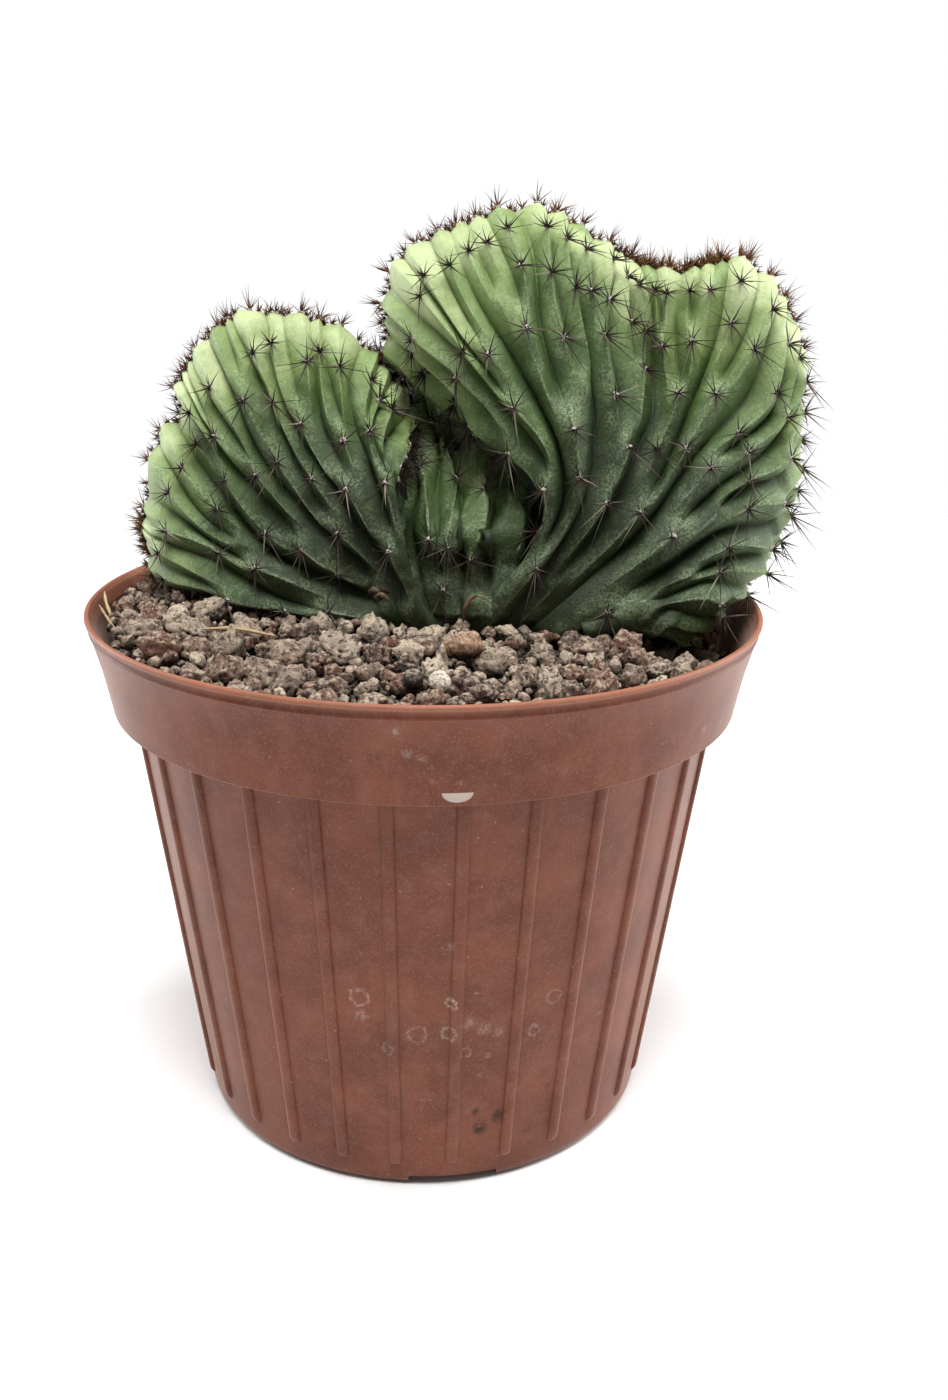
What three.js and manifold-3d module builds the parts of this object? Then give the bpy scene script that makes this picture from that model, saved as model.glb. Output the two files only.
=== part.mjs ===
// Crested cactus in a ribbed plastic nursery pot filled with volcanic grit.
// Millimetres, +Z up, origin in the middle of the pot's flat base.
// -Y is towards the viewer of the plant's best side.
import * as THREE from 'three';
import { mergeVertices } from 'three/addons/utils/BufferGeometryUtils.js';
import Module from 'manifold-3d';

const wasm = await Module();
wasm.setup();

// Driving dimensions of the pot
const POT_HEIGHT = 95.3;
const RIM_RADIUS = 60;
const COLLAR_HEIGHT = 17.1;
const COLLAR_FOOT_RADIUS = 56.2;
const WALL_TOP_RADIUS = 52.3;
const BASE_RADIUS = 41.9;
const CORNER_RADIUS = 2.5;
const WALL = 1.3;
const LIP_HEIGHT = 1.4;
const LIP_REACH = 0.6;
const BEAD_COUNT = 28;
const BEAD_WIDTH = 2.2;
const BEAD_PROUD = 0.7;
const BEAD_FOOT = 5;
const NOTCH_COUNT = 4;
const NOTCH_WIDTH = 15.5;
const NOTCH_HEIGHT = 2.1;
const NOTCH_DEPTH = 9;
const NOTCH_TURN = 7;
const DRAIN_HOLE_RADIUS = 3;
const DRAIN_HOLE_RING = 22;
const POT_SEGMENTS = 56;

// Driving dimensions of the grit
const FIT_GAP = 0.35;
const ROOM_SPREAD = 3;
const ROOM_COLUMNS = 20;
const ROOM_WAYS = [[0, 0, 0], [-1, 0, 0], [1, 0, 0], [0, -1, 0], [0, 1, 0], [0, 0, -1]];
const GRIT_LEVEL = 90.5;
const GRIT_SEGMENTS = 28;
const GRIT_RINGS = [0.8, 0.55, 0.28];
const HEAP_HEIGHT = 3;
const HEAP_CENTRE = [-12, 2];
const HEAP_SPREAD = 26.5;
const BANK_HEIGHT = 2.5;
const BANK_FROM_X = -28;
const BANK_TO_X = -48;
const HOLLOW_DEPTH = 7;
const HOLLOW_FROM_X = 32;
const HOLLOW_TO_X = 46;
const HOLLOW_FRONT_Y = -28;
const HOLLOW_BACK_Y = -14;
const STONE_COUNT = 94;
const STONE_SMALLEST = 2.8;
const STONE_LARGEST = 5;
const STONE_HEIGHT_SHARE = 0.8;
const STONE_TILT = 0.6;
const GRIT_SEED = 7;

// Driving dimensions of the plant
const RIB_WIDTH_AT_FOOT = 11;
const RIB_WIDTH_AT_CREST = 6.6;
const RIB_HEIGHT_TO_WIDTH = 0.34;
const RIB_FLATNESS = 2.2;
const RIB_SHOULDER = 0.75;
const GROOVE_DEPTH = 1.7;
const CREST_ROUNDING = 7;
const FORK_RUN = 0.13;
const FORK_STEP = 0.01;
const LAST_FORK = 0.93;
const FORK_OFFSET = 0.06;
const FORK_SPREAD = 0.15;
const SPINE_LENGTH = 6;
const CREST_SPINE_LENGTH = 3.6;
const SPINE_RADIUS = 0.38;
const SPINE_SUNK = 1.2;
const SPINES_IN_CUSHION = 2;
const CUSHION_STEP_SMALLEST = 24;
const CUSHION_STEP_LARGEST = 33;
const SPINE_OVER_GRIT = 5;
const SPINE_FROM_POT = 1.5;
const CENTRAL_SPINE_LEAN = 0.1;
const OUTER_SPINE_LEAN = 1.05;
const PLANT_SEED = 11;
const STUMP_CENTRE = [9, 3];
const STUMP_STRETCH = 1.9;
const STUMP_SEGMENTS = 20;
const STUMP_PROFILE = [
  [0, 72], [8, 72.5], [10, 79], [12.2, 85], [12.8, 91], [11.5, 97], [8, 101.5], [0, 104],
];

// The crest's fans. Each has guide lines, from the foot up to the growing edge, that run across the ribs.
const LEFT_FAN = {
  thickness: [7.5, 12, 12.5, 11, 9],
  endRounding: 14,
  guides: [
    [[-2, 3, 90], [-2, 3, 91], [-1, 2, 91], [0, 2, 91], [0, 1, 91], [1, 1, 90], [2, 0, 90], [3, -1, 88]],
    [[-14, 3, 91], [-13, 4, 94], [-11, 4, 98], [-9, 3, 101], [-7, 1, 103], [-5, 0, 104], [-3, -1, 103],
      [-1, -2, 102]],
    [[-27, 5, 92], [-26, 6, 97], [-22, 6, 104], [-19, 4, 111], [-14, 2, 115], [-9, 0, 116], [-6, -1, 116],
      [-3, -3, 113]],
    [[-39, 6, 94], [-39, 7, 102], [-34, 7, 114], [-28, 5, 124], [-21, 3, 127], [-13, 1, 128], [-8, 0, 126],
      [-3, -1, 119]],
    [[-49, 6, 95], [-52, 8, 107], [-46, 8, 129], [-37, 5, 142], [-25, 3, 145], [-13, 4, 141], [-5, 7, 133],
      [1, 8, 124]],
  ],
};
const CENTRE_FAN = {
  thickness: [7, 9, 9, 8, 6],
  endRounding: 6,
  guides: [
    [[-4, 4, 94], [6, 3, 94], [16, 4, 94]],
    [[-9, 7, 102], [6, 5, 102], [20, 7, 102]],
    [[-12, 11, 113], [5, 8, 112], [23, 11, 112]],
    [[-13, 13, 126], [4, 11, 122], [22, 13, 121]],
    [[-11, 15, 139], [4, 15, 132], [18, 15, 129]],
  ],
};
const RIGHT_FAN = {
  thickness: [6.5, 12.5, 13, 12, 9.5],
  endRounding: 24,
  guides: [
    [[5, 2, 90], [8, 2, 91], [11, 3, 92], [14, 3, 92], [16, 3, 92], [18, 3, 92], [20, 3, 91], [22, 3, 91],
      [23, 3, 90], [24, 2, 88], [24, 1, 86]],
    [[17, 1, 106], [20, 0, 109], [24, 0, 111], [28, 1, 112], [31, 2, 112], [35, 2, 110], [38, 2, 107],
      [40, 2, 103], [41, 1, 99], [40, 0, 94], [36, -2, 88]],
    [[18, 0, 115], [20, -1, 122], [25, -1, 126], [32, 2, 128], [38, 5, 128], [44, 4, 125], [50, 3, 120],
      [53, 3, 113], [53, 2, 105], [48, -2, 96], [42, -4, 87]],
    [[8, 2, 123], [9, 0, 137], [19, 0, 147], [30, 4, 145], [38, 8, 140], [51, 6, 138], [61, 6, 128],
      [63, 6, 115], [61, 4, 104], [54, -3, 95], [46, -6, 85]],
    [[-8, 5, 136], [-5, 4, 155], [16, 2, 164], [30, 3, 158], [37, 5, 153], [55, 3, 154], [68, 8, 140],
      [69, 10, 120], [66, 5, 105], [58, -5, 96], [49, -7, 86]],
  ],
};
const FANS = [LEFT_FAN, CENTRE_FAN, RIGHT_FAN];
const FAN_ROWS = [0, 0.16, 0.32, 0.47, 0.61, 0.75, 0.87, 0.95, 1];
const FRONT = -1;
const BACK = 1;

// Seeded random numbers between 0 and 1
let seed = GRIT_SEED;
function random() {
  seed = (seed * 16807) % 2147483647;
  return seed / 2147483647;
}

function between(low, high) {
  return low + (high - low) * random();
}

function smoothstep(low, high, x) {
  const t = Math.min(1, Math.max(0, (x - low) / (high - low)));
  return t * t * (3 - 2 * t);
}

// A closed geometry as a solid that can be joined and cut
function solidOf(geometry, mergeDistance = 1e-4) {
  const bare = geometry.index ? geometry.toNonIndexed() : geometry;
  for (const attribute of Object.keys(bare.attributes)) {
    if (attribute !== 'position') bare.deleteAttribute(attribute);
  }
  const merged = mergeVertices(bare, mergeDistance);
  return new wasm.Manifold(new wasm.Mesh({
    numProp: 3,
    vertProperties: new Float32Array(merged.attributes.position.array),
    triVerts: new Uint32Array(merged.index.array),
  }));
}

function geometryOf(solid) {
  const data = solid.getMesh();
  const geometry = new THREE.BufferGeometry();
  geometry.setAttribute('position', new THREE.BufferAttribute(data.vertProperties, 3));
  geometry.setIndex(new THREE.BufferAttribute(data.triVerts, 1));
  return geometry;
}

function meshOf(name, solid, colour, roughness) {
  const geometry = geometryOf(solid);
  geometry.computeVertexNormals();
  const material = new THREE.MeshStandardMaterial({ color: colour, roughness, metalness: 0 });
  const mesh = new THREE.Mesh(geometry, material);
  mesh.name = name;
  return mesh;
}

// The biggest body of a solid once close vertices are merged, without loose scraps and sealed hollows
function biggestBody(solid) {
  const merged = solidOf(geometryOf(solid), 1e-3);
  return merged.decompose().reduce((best, piece) => (piece.volume() > best.volume() ? piece : best));
}

// A turned solid about the Z axis, from a profile of [radius, height] points
function turned(profile, segments) {
  const points = profile.map(([radius, height]) => new THREE.Vector2(radius, height));
  const geometry = new THREE.LatheGeometry(points, segments);
  geometry.rotateX(Math.PI / 2);
  return geometry;
}

// The pot
const COLLAR_FOOT = POT_HEIGHT - COLLAR_HEIGHT;
const WALL_SLOPE = (WALL_TOP_RADIUS - BASE_RADIUS) / COLLAR_FOOT;
const COLLAR_TOP_RADIUS = RIM_RADIUS - LIP_REACH;
const INNER_COLLAR_FOOT = COLLAR_FOOT + WALL;

function wallRadius(z) {
  return BASE_RADIUS + WALL_SLOPE * z;
}

function innerRadius(z) {
  if (z < INNER_COLLAR_FOOT) return wallRadius(z) - WALL;
  const rise = (z - COLLAR_FOOT) / COLLAR_HEIGHT;
  return COLLAR_FOOT_RADIUS + (COLLAR_TOP_RADIUS - COLLAR_FOOT_RADIUS) * rise - WALL;
}

function potShell() {
  const outside = [
    [0, 0],
    [BASE_RADIUS - CORNER_RADIUS, 0],
    [BASE_RADIUS - CORNER_RADIUS * 0.3, CORNER_RADIUS * 0.3],
    [wallRadius(CORNER_RADIUS), CORNER_RADIUS],
    [WALL_TOP_RADIUS, COLLAR_FOOT],
    [COLLAR_FOOT_RADIUS, COLLAR_FOOT],
    [COLLAR_TOP_RADIUS, POT_HEIGHT - LIP_HEIGHT],
    [RIM_RADIUS, POT_HEIGHT - LIP_HEIGHT * 0.6],
    [RIM_RADIUS - LIP_REACH * 0.5, POT_HEIGHT],
  ];
  const inside = [
    [innerRadius(POT_HEIGHT), POT_HEIGHT],
    [innerRadius(INNER_COLLAR_FOOT), INNER_COLLAR_FOOT],
    [wallRadius(COLLAR_FOOT) - WALL, INNER_COLLAR_FOOT],
    [wallRadius(WALL) - WALL, WALL],
    [0, WALL],
  ];
  return solidOf(turned([...outside, ...inside], POT_SEGMENTS));
}

// One half-round bead, standing on the slanted wall at a turn in degrees from the front towards +X
function bead(turn) {
  const half = BEAD_WIDTH / 2;
  const section = new THREE.Shape();
  section.moveTo(-half, WALL * 0.5);
  section.lineTo(-half, 0);
  section.lineTo(-half * 0.5, -BEAD_PROUD);
  section.lineTo(half * 0.5, -BEAD_PROUD);
  section.lineTo(half, 0);
  section.lineTo(half, WALL * 0.5);
  const top = COLLAR_FOOT + WALL * 0.3;
  const depth = Math.hypot(top - BEAD_FOOT, wallRadius(top) - wallRadius(BEAD_FOOT));
  const geometry = new THREE.ExtrudeGeometry(section, { depth, bevelEnabled: false });
  geometry.rotateX(Math.atan(WALL_SLOPE));
  geometry.translate(0, -wallRadius(BEAD_FOOT), BEAD_FOOT);
  geometry.rotateZ(THREE.MathUtils.degToRad(turn));
  return solidOf(geometry);
}

function drainCuts() {
  const cuts = [];
  for (let k = 0; k < NOTCH_COUNT; k += 1) {
    const turn = NOTCH_TURN + (k * 360) / NOTCH_COUNT;
    const notch = new THREE.BoxGeometry(NOTCH_WIDTH, NOTCH_DEPTH, NOTCH_HEIGHT * 2);
    notch.translate(0, -BASE_RADIUS, 0);
    notch.rotateZ(THREE.MathUtils.degToRad(turn));
    cuts.push(solidOf(notch));
    const hole = new THREE.CylinderGeometry(DRAIN_HOLE_RADIUS, DRAIN_HOLE_RADIUS, WALL * 4, 16);
    hole.rotateX(Math.PI / 2);
    hole.translate(0, -DRAIN_HOLE_RING, 0);
    hole.rotateZ(THREE.MathUtils.degToRad(turn + 180 / NOTCH_COUNT));
    cuts.push(solidOf(hole));
  }
  return wasm.Manifold.union(cuts);
}

function makePot() {
  const beads = [];
  for (let k = 0; k < BEAD_COUNT; k += 1) beads.push(bead(((k + 0.5) * 360) / BEAD_COUNT));
  return wasm.Manifold.union([potShell(), ...beads]).subtract(drainCuts());
}

// A smooth curve through a row of points, for t from 0 to 1
function along(points, t) {
  const x = Math.min(1, Math.max(0, t)) * (points.length - 1);
  const i = Math.min(Math.floor(x), points.length - 2);
  const f = x - i;
  const at = (k) => points[Math.min(points.length - 1, Math.max(0, k))];
  return points[i].map((_, axis) => {
    const b = at(i)[axis];
    const c = at(i + 1)[axis];
    const a = i > 0 ? at(i - 1)[axis] : 2 * b - c;
    const d = i < points.length - 2 ? at(i + 2)[axis] : 2 * c - b;
    return b + 0.5 * f * (c - a + f * (2 * a - 5 * b + 4 * c - d + f * (3 * (b - c) + d - a)));
  });
}

// The middle of a fan's flesh: across runs along the crest, up runs along a rib from foot to crest
function middlePoint(fan, across, up) {
  return new THREE.Vector3(...along(fan.guides.map((guide) => along(guide, across)), up));
}

function ribLength(fan, across) {
  let length = 0;
  for (let k = 0; k < 8; k += 1) {
    length += middlePoint(fan, across, k / 8).distanceTo(middlePoint(fan, across, (k + 1) / 8));
  }
  return length;
}

// Half the flesh's thickness, which rounds off at the crest and at both ends of the fan
function halfThickness(fan, across, up) {
  const [full] = along(fan.thickness.map((value) => [value]), up);
  const crest = Math.sqrt(Math.max(0, 1 - up ** (ribLength(fan, across) / CREST_ROUNDING)));
  const ends = Math.sqrt(Math.max(0, 1 - Math.abs(2 * across - 1) ** fan.endRounding));
  return full * crest * ends;
}

function skinPoint(fan, side, across, up) {
  const point = middlePoint(fan, across, up);
  point.y += side * halfThickness(fan, across, up);
  return point;
}

// The way out of the flesh at a point of the skin
function outward(fan, side, across, up) {
  const step = 0.006;
  const nextAcross = Math.min(1, across + step);
  const lastAcross = Math.max(0, across - step);
  const nextUp = Math.min(1, up + step);
  const lastUp = Math.max(0, up - step);
  if (up > 1 - step) {
    return middlePoint(fan, across, 1).sub(middlePoint(fan, across, 1 - step * 4)).normalize();
  }
  if (across < step) return middlePoint(fan, 0, up).sub(middlePoint(fan, step * 2, up)).normalize();
  if (across > 1 - step) return middlePoint(fan, 1, up).sub(middlePoint(fan, 1 - step * 2, up)).normalize();
  const alongCrest = skinPoint(fan, side, nextAcross, up).sub(skinPoint(fan, side, lastAcross, up));
  const alongRib = skinPoint(fan, side, across, nextUp).sub(skinPoint(fan, side, across, lastUp));
  return alongCrest.cross(alongRib).multiplyScalar(-side).normalize();
}

// A steady number between -1 and 1 for a place on a fan
function steady(x) {
  const wave = Math.sin(x * 91.7 + 2.3) * 437.5;
  return 2 * (wave - Math.floor(wave)) - 1;
}

// A rib forks where it has grown wider than its limit, so ribs are few at the foot and many at the crest
function growRib(fan, from, to, start) {
  const rib = { from, to, start, fork: null };
  const width = (up) => middlePoint(fan, from, up).distanceTo(middlePoint(fan, to, up));
  const share = 0.5 + FORK_OFFSET * steady(from + to);
  for (let up = start; up < LAST_FORK; up += FORK_STEP) {
    const limit = RIB_WIDTH_AT_FOOT + (RIB_WIDTH_AT_CREST - RIB_WIDTH_AT_FOOT) * up;
    if (width(up) > limit * (1 + FORK_SPREAD * steady(from * 3 + to))) {
      const middle = from + (to - from) * share;
      const next = up + (up > 0 ? FORK_RUN * 0.5 : 0);
      rib.fork = { up, middle, low: growRib(fan, from, middle, next), high: growRib(fan, middle, to, next) };
      return rib;
    }
  }
  return rib;
}

function lastRibs(rib) {
  return rib.fork ? [...lastRibs(rib.fork.low), ...lastRibs(rib.fork.high)] : [rib];
}

function allRibs(rib) {
  return rib.fork ? [rib, ...allRibs(rib.fork.low), ...allRibs(rib.fork.high)] : [rib];
}

// How far a rib's back stands over the bottom of its grooves
function ribRelief(fan, rib, across, up) {
  const place = (2 * (across - rib.from)) / (rib.to - rib.from) - 1;
  const width = middlePoint(fan, rib.from, up).distanceTo(middlePoint(fan, rib.to, up));
  const rounding = (1 - Math.min(1, Math.abs(place)) ** RIB_FLATNESS) ** RIB_SHOULDER;
  const arch = RIB_HEIGHT_TO_WIDTH * width * rounding;
  if (!rib.fork || up <= rib.fork.up) return arch;
  const grown = rib.fork.up > 0 ? smoothstep(rib.fork.up, rib.fork.up + FORK_RUN, up) : 1;
  const branch = across < rib.fork.middle ? rib.fork.low : rib.fork.high;
  return arch + (ribRelief(fan, branch, across, up) - arch) * grown;
}

function ribbedPoint(fan, side, across, up) {
  const lift = ribRelief(fan, fan.ribs, across, up) - GROOVE_DEPTH;
  return skinPoint(fan, side, across, up).addScaledVector(outward(fan, side, across, up), lift);
}

// A closed skin over columns and rows, where pointAt gives each point of the front and the back
function closedSkin(columns, rows, pointAt) {
  const positions = [];
  const numbers = { [FRONT]: [], [BACK]: [] };
  const lastColumn = columns.length - 1;
  const lastRow = rows.length - 1;
  for (const side of [FRONT, BACK]) {
    columns.forEach((across, c) => {
      numbers[side].push([]);
      rows.forEach((up, r) => {
        const shared = side === BACK && (c === 0 || c === lastColumn || r === lastRow);
        if (shared) {
          numbers[BACK][c].push(numbers[FRONT][c][r]);
          return;
        }
        numbers[side][c].push(positions.length / 3);
        positions.push(...pointAt(side, across, up).toArray());
      });
    });
  }
  const triangles = [];
  const quad = (a, b, c, d) => triangles.push(a, b, c, a, c, d);
  for (let c = 0; c < lastColumn; c += 1) {
    for (let r = 0; r < lastRow; r += 1) {
      const front = numbers[FRONT];
      const back = numbers[BACK];
      quad(front[c][r], front[c + 1][r], front[c + 1][r + 1], front[c][r + 1]);
      quad(back[c][r], back[c][r + 1], back[c + 1][r + 1], back[c + 1][r]);
    }
    quad(numbers[FRONT][c][0], numbers[BACK][c][0], numbers[BACK][c + 1][0], numbers[FRONT][c + 1][0]);
  }
  const faces = triangles.filter((_, k) => {
    const first = k - (k % 3);
    const [a, b, c] = triangles.slice(first, first + 3);
    return a !== b && b !== c && a !== c;
  });
  const geometry = new THREE.BufferGeometry();
  geometry.setAttribute('position', new THREE.Float32BufferAttribute(positions, 3));
  geometry.setIndex(faces);
  return solidOf(geometry);
}

function makeFan(fan, shift) {
  const columns = lastRibs(fan.ribs).flatMap((rib) => [rib.from, (rib.from + rib.to) / 2]);
  const pointAt = (side, across, up) => ribbedPoint(fan, side, across, up).add(shift);
  return closedSkin([...columns, 1], FAN_ROWS, pointAt);
}

// The stump that stands in the grit, round in plan but stretched along X
function makeStump(shift) {
  const geometry = turned(STUMP_PROFILE, STUMP_SEGMENTS);
  geometry.scale(STUMP_STRETCH, 1, 1);
  geometry.translate(STUMP_CENTRE[0] + shift.x, STUMP_CENTRE[1] + shift.y, shift.z);
  return solidOf(geometry);
}

// The plant without its spines, moved by a shift
function makeBody(shift) {
  return wasm.Manifold.union([makeStump(shift), ...FANS.map((fan) => makeFan(fan, shift))]);
}

// The grit's surface: heaped in the middle and at the left, sunk at the right where the lobe hangs in
function gritTop(x, y) {
  const fromHeap = Math.hypot(x - HEAP_CENTRE[0], y - HEAP_CENTRE[1]);
  const heap = HEAP_HEIGHT * Math.exp(-((fromHeap / HEAP_SPREAD) ** 2));
  const bank = BANK_HEIGHT * smoothstep(BANK_FROM_X, BANK_TO_X, x);
  const right = smoothstep(HOLLOW_FROM_X, HOLLOW_TO_X, x);
  const behind = smoothstep(HOLLOW_FRONT_Y, HOLLOW_BACK_Y, y);
  return GRIT_LEVEL + heap + bank - HOLLOW_DEPTH * right * behind;
}

// One three-sided spine, sunk into the flesh and pointing along its direction
function spine(root, direction, length) {
  const geometry = new THREE.ConeGeometry(SPINE_RADIUS, length + SPINE_SUNK, 3, 1);
  geometry.translate(0, (length - SPINE_SUNK) / 2, 0);
  geometry.applyQuaternion(new THREE.Quaternion().setFromUnitVectors(new THREE.Vector3(0, 1, 0), direction));
  geometry.translate(root.x, root.y, root.z);
  return solidOf(geometry);
}

// A spine stands only where it clears the stones and the pot's rim
function standsClear(end) {
  const nearRim = Math.hypot(end.x, end.y) > innerRadius(POT_HEIGHT) - SPINE_FROM_POT;
  const overRim = end.z > POT_HEIGHT + SPINE_FROM_POT;
  return end.z > gritTop(end.x, end.y) + SPINE_OVER_GRIT && (overRim || !nearRim);
}

// A cushion of spines: one stands straight out and the others lean out round it
function spineCushion(fan, side, across, up, length) {
  const root = ribbedPoint(fan, side, across, up);
  const out = outward(fan, side, across, up);
  const flat = new THREE.Vector3(0, 0, 1).cross(out).normalize();
  const turn = between(0, Math.PI * 2);
  const spines = [];
  for (let k = 0; k < SPINES_IN_CUSHION; k += 1) {
    const lean = k === 0 ? CENTRAL_SPINE_LEAN : OUTER_SPINE_LEAN;
    const sideways = flat.clone().applyAxisAngle(out, turn + (k * Math.PI * 2) / (SPINES_IN_CUSHION - 1));
    const direction = out.clone().multiplyScalar(Math.cos(lean)).addScaledVector(sideways, Math.sin(lean));
    const reach = length * between(0.75, 1.1);
    const tip = root.clone().addScaledVector(direction, reach);
    if (standsClear(root) && standsClear(tip)) spines.push(spine(root, direction, reach));
  }
  return spines;
}

// Spines stand in cushions along the back of each rib, closer together at the crest
function fanSpines(fan) {
  const spines = [];
  for (const rib of allRibs(fan.ribs)) {
    const across = (rib.from + rib.to) / 2;
    const length = ribLength(fan, across);
    const top = rib.fork ? rib.fork.up : 1;
    if (!rib.fork) spines.push(...spineCushion(fan, FRONT, across, 1, CREST_SPINE_LENGTH));
    for (
      let up = top - (CUSHION_STEP_SMALLEST * 0.5) / length;
      up > rib.start + 0.02;
      up -= between(CUSHION_STEP_SMALLEST, CUSHION_STEP_LARGEST) / length
    ) {
      for (const side of [FRONT, BACK]) spines.push(...spineCushion(fan, side, across, up, SPINE_LENGTH));
    }
  }
  return spines;
}

for (const fan of FANS) fan.ribs = growRib(fan, 0, 1, 0);

function makeCactus() {
  seed = PLANT_SEED;
  const body = makeBody(new THREE.Vector3());
  return biggestBody(wasm.Manifold.union([body, ...FANS.flatMap(fanSpines)]));
}

// The plant's room in the grit: a smooth hollow round it, and the plant itself moved a little each way
function plantRoom() {
  const columns = [];
  for (let k = 0; k <= ROOM_COLUMNS; k += 1) columns.push((1 - Math.cos((Math.PI * k) / ROOM_COLUMNS)) / 2);
  const room = FANS.map((fan) => closedSkin(columns, FAN_ROWS, (side, across, up) => (
    skinPoint(fan, side, across, up).addScaledVector(outward(fan, side, across, up), ROOM_SPREAD)
  )));
  const moved = ROOM_WAYS.map((way) => makeBody(new THREE.Vector3(...way).multiplyScalar(FIT_GAP)));
  return wasm.Manifold.union([...room, ...moved]);
}

// A lump of lava: a small block with its corners pushed in and out
function stone(x, y, radius) {
  const block = new THREE.BoxGeometry(1, 1, 1).deleteAttribute('normal').deleteAttribute('uv');
  const geometry = mergeVertices(block);
  const position = geometry.attributes.position;
  for (let k = 0; k < position.count; k += 1) {
    const reach = radius * between(0.95, 1.45);
    const height = reach * STONE_HEIGHT_SHARE;
    position.setXYZ(k, position.getX(k) * reach, position.getY(k) * reach, position.getZ(k) * height);
  }
  geometry.rotateX(between(-STONE_TILT, STONE_TILT));
  geometry.rotateY(between(-STONE_TILT, STONE_TILT));
  geometry.rotateZ(between(0, Math.PI * 2));
  geometry.translate(x, y, gritTop(x, y) + radius * between(0.1, 0.4));
  return solidOf(geometry);
}

// The fill from the pot's floor up to the surface, on rings of points
function gritFill() {
  const positions = [];
  const triangles = [];
  const ringOf = (radiusAt, heightAt) => {
    const first = positions.length / 3;
    const nominal = radiusAt(GRIT_LEVEL);
    for (let k = 0; k < GRIT_SEGMENTS; k += 1) {
      const turn = ((k + 0.5) * 2 * Math.PI) / GRIT_SEGMENTS;
      const height = heightAt(nominal * Math.cos(turn), nominal * Math.sin(turn));
      const radius = radiusAt(height);
      positions.push(radius * Math.cos(turn), radius * Math.sin(turn), height);
    }
    return first;
  };
  const join = (low, high) => {
    for (let k = 0; k < GRIT_SEGMENTS; k += 1) {
      const next = (k + 1) % GRIT_SEGMENTS;
      triangles.push(low + k, low + next, high + next, low + k, high + next, high + k);
    }
  };
  const floor = WALL + FIT_GAP;
  const step = INNER_COLLAR_FOOT + FIT_GAP;
  const besideWall = (z) => wallRadius(Math.min(z, COLLAR_FOOT)) - WALL - FIT_GAP;
  const besideCollar = (z) => innerRadius(z) - FIT_GAP;
  const outer = [
    ringOf(besideWall, () => floor),
    ringOf(besideWall, () => COLLAR_FOOT),
    ringOf(besideWall, () => step),
    ringOf(besideCollar, () => step),
    ringOf(besideCollar, gritTop),
  ];
  for (let k = 0; k < outer.length - 1; k += 1) join(outer[k], outer[k + 1]);
  let ring = outer[outer.length - 1];
  for (const share of GRIT_RINGS) {
    const inner = ringOf((z) => besideCollar(z) * share, gritTop);
    join(ring, inner);
    ring = inner;
  }
  const top = positions.length / 3;
  positions.push(0, 0, gritTop(0, 0));
  const bottom = positions.length / 3;
  positions.push(0, 0, floor);
  for (let k = 0; k < GRIT_SEGMENTS; k += 1) {
    const next = (k + 1) % GRIT_SEGMENTS;
    triangles.push(ring + k, ring + next, top);
    triangles.push(outer[0] + next, outer[0] + k, bottom);
  }
  const geometry = new THREE.BufferGeometry();
  geometry.setAttribute('position', new THREE.Float32BufferAttribute(positions, 3));
  geometry.setIndex(triangles);
  return solidOf(geometry);
}

function makeGrit() {
  seed = GRIT_SEED;
  const stones = [];
  const reach = innerRadius(GRIT_LEVEL - STONE_LARGEST) - FIT_GAP;
  const goldenAngle = Math.PI * (3 - Math.sqrt(5));
  for (let k = 0; k < STONE_COUNT; k += 1) {
    const radius = between(STONE_SMALLEST, STONE_LARGEST);
    const out = (reach - radius * 1.25) * Math.sqrt((k + 0.5) / STONE_COUNT);
    const turn = k * goldenAngle + between(-0.12, 0.12);
    const x = out * Math.cos(turn);
    const y = out * Math.sin(turn);
    const underPlant = Math.abs(x - STUMP_CENTRE[0]) < 55 && Math.abs(y - STUMP_CENTRE[1]) < 9;
    if (!underPlant) stones.push(stone(x, y, radius));
  }
  return biggestBody(wasm.Manifold.union([gritFill(), ...stones]).subtract(plantRoom()));
}

const group = new THREE.Group();
group.add(meshOf('pot', makePot(), 0x8a5a4c, 0.45));
group.add(meshOf('grit', makeGrit(), 0x7c6a5e, 0.95));
group.add(meshOf('cactus', makeCactus(), 0x5b7f4a, 0.6));

export default group;
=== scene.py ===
import math

import bpy
import numpy as np
from mathutils import Matrix, Vector
from mathutils.bvhtree import BVHTree


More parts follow.
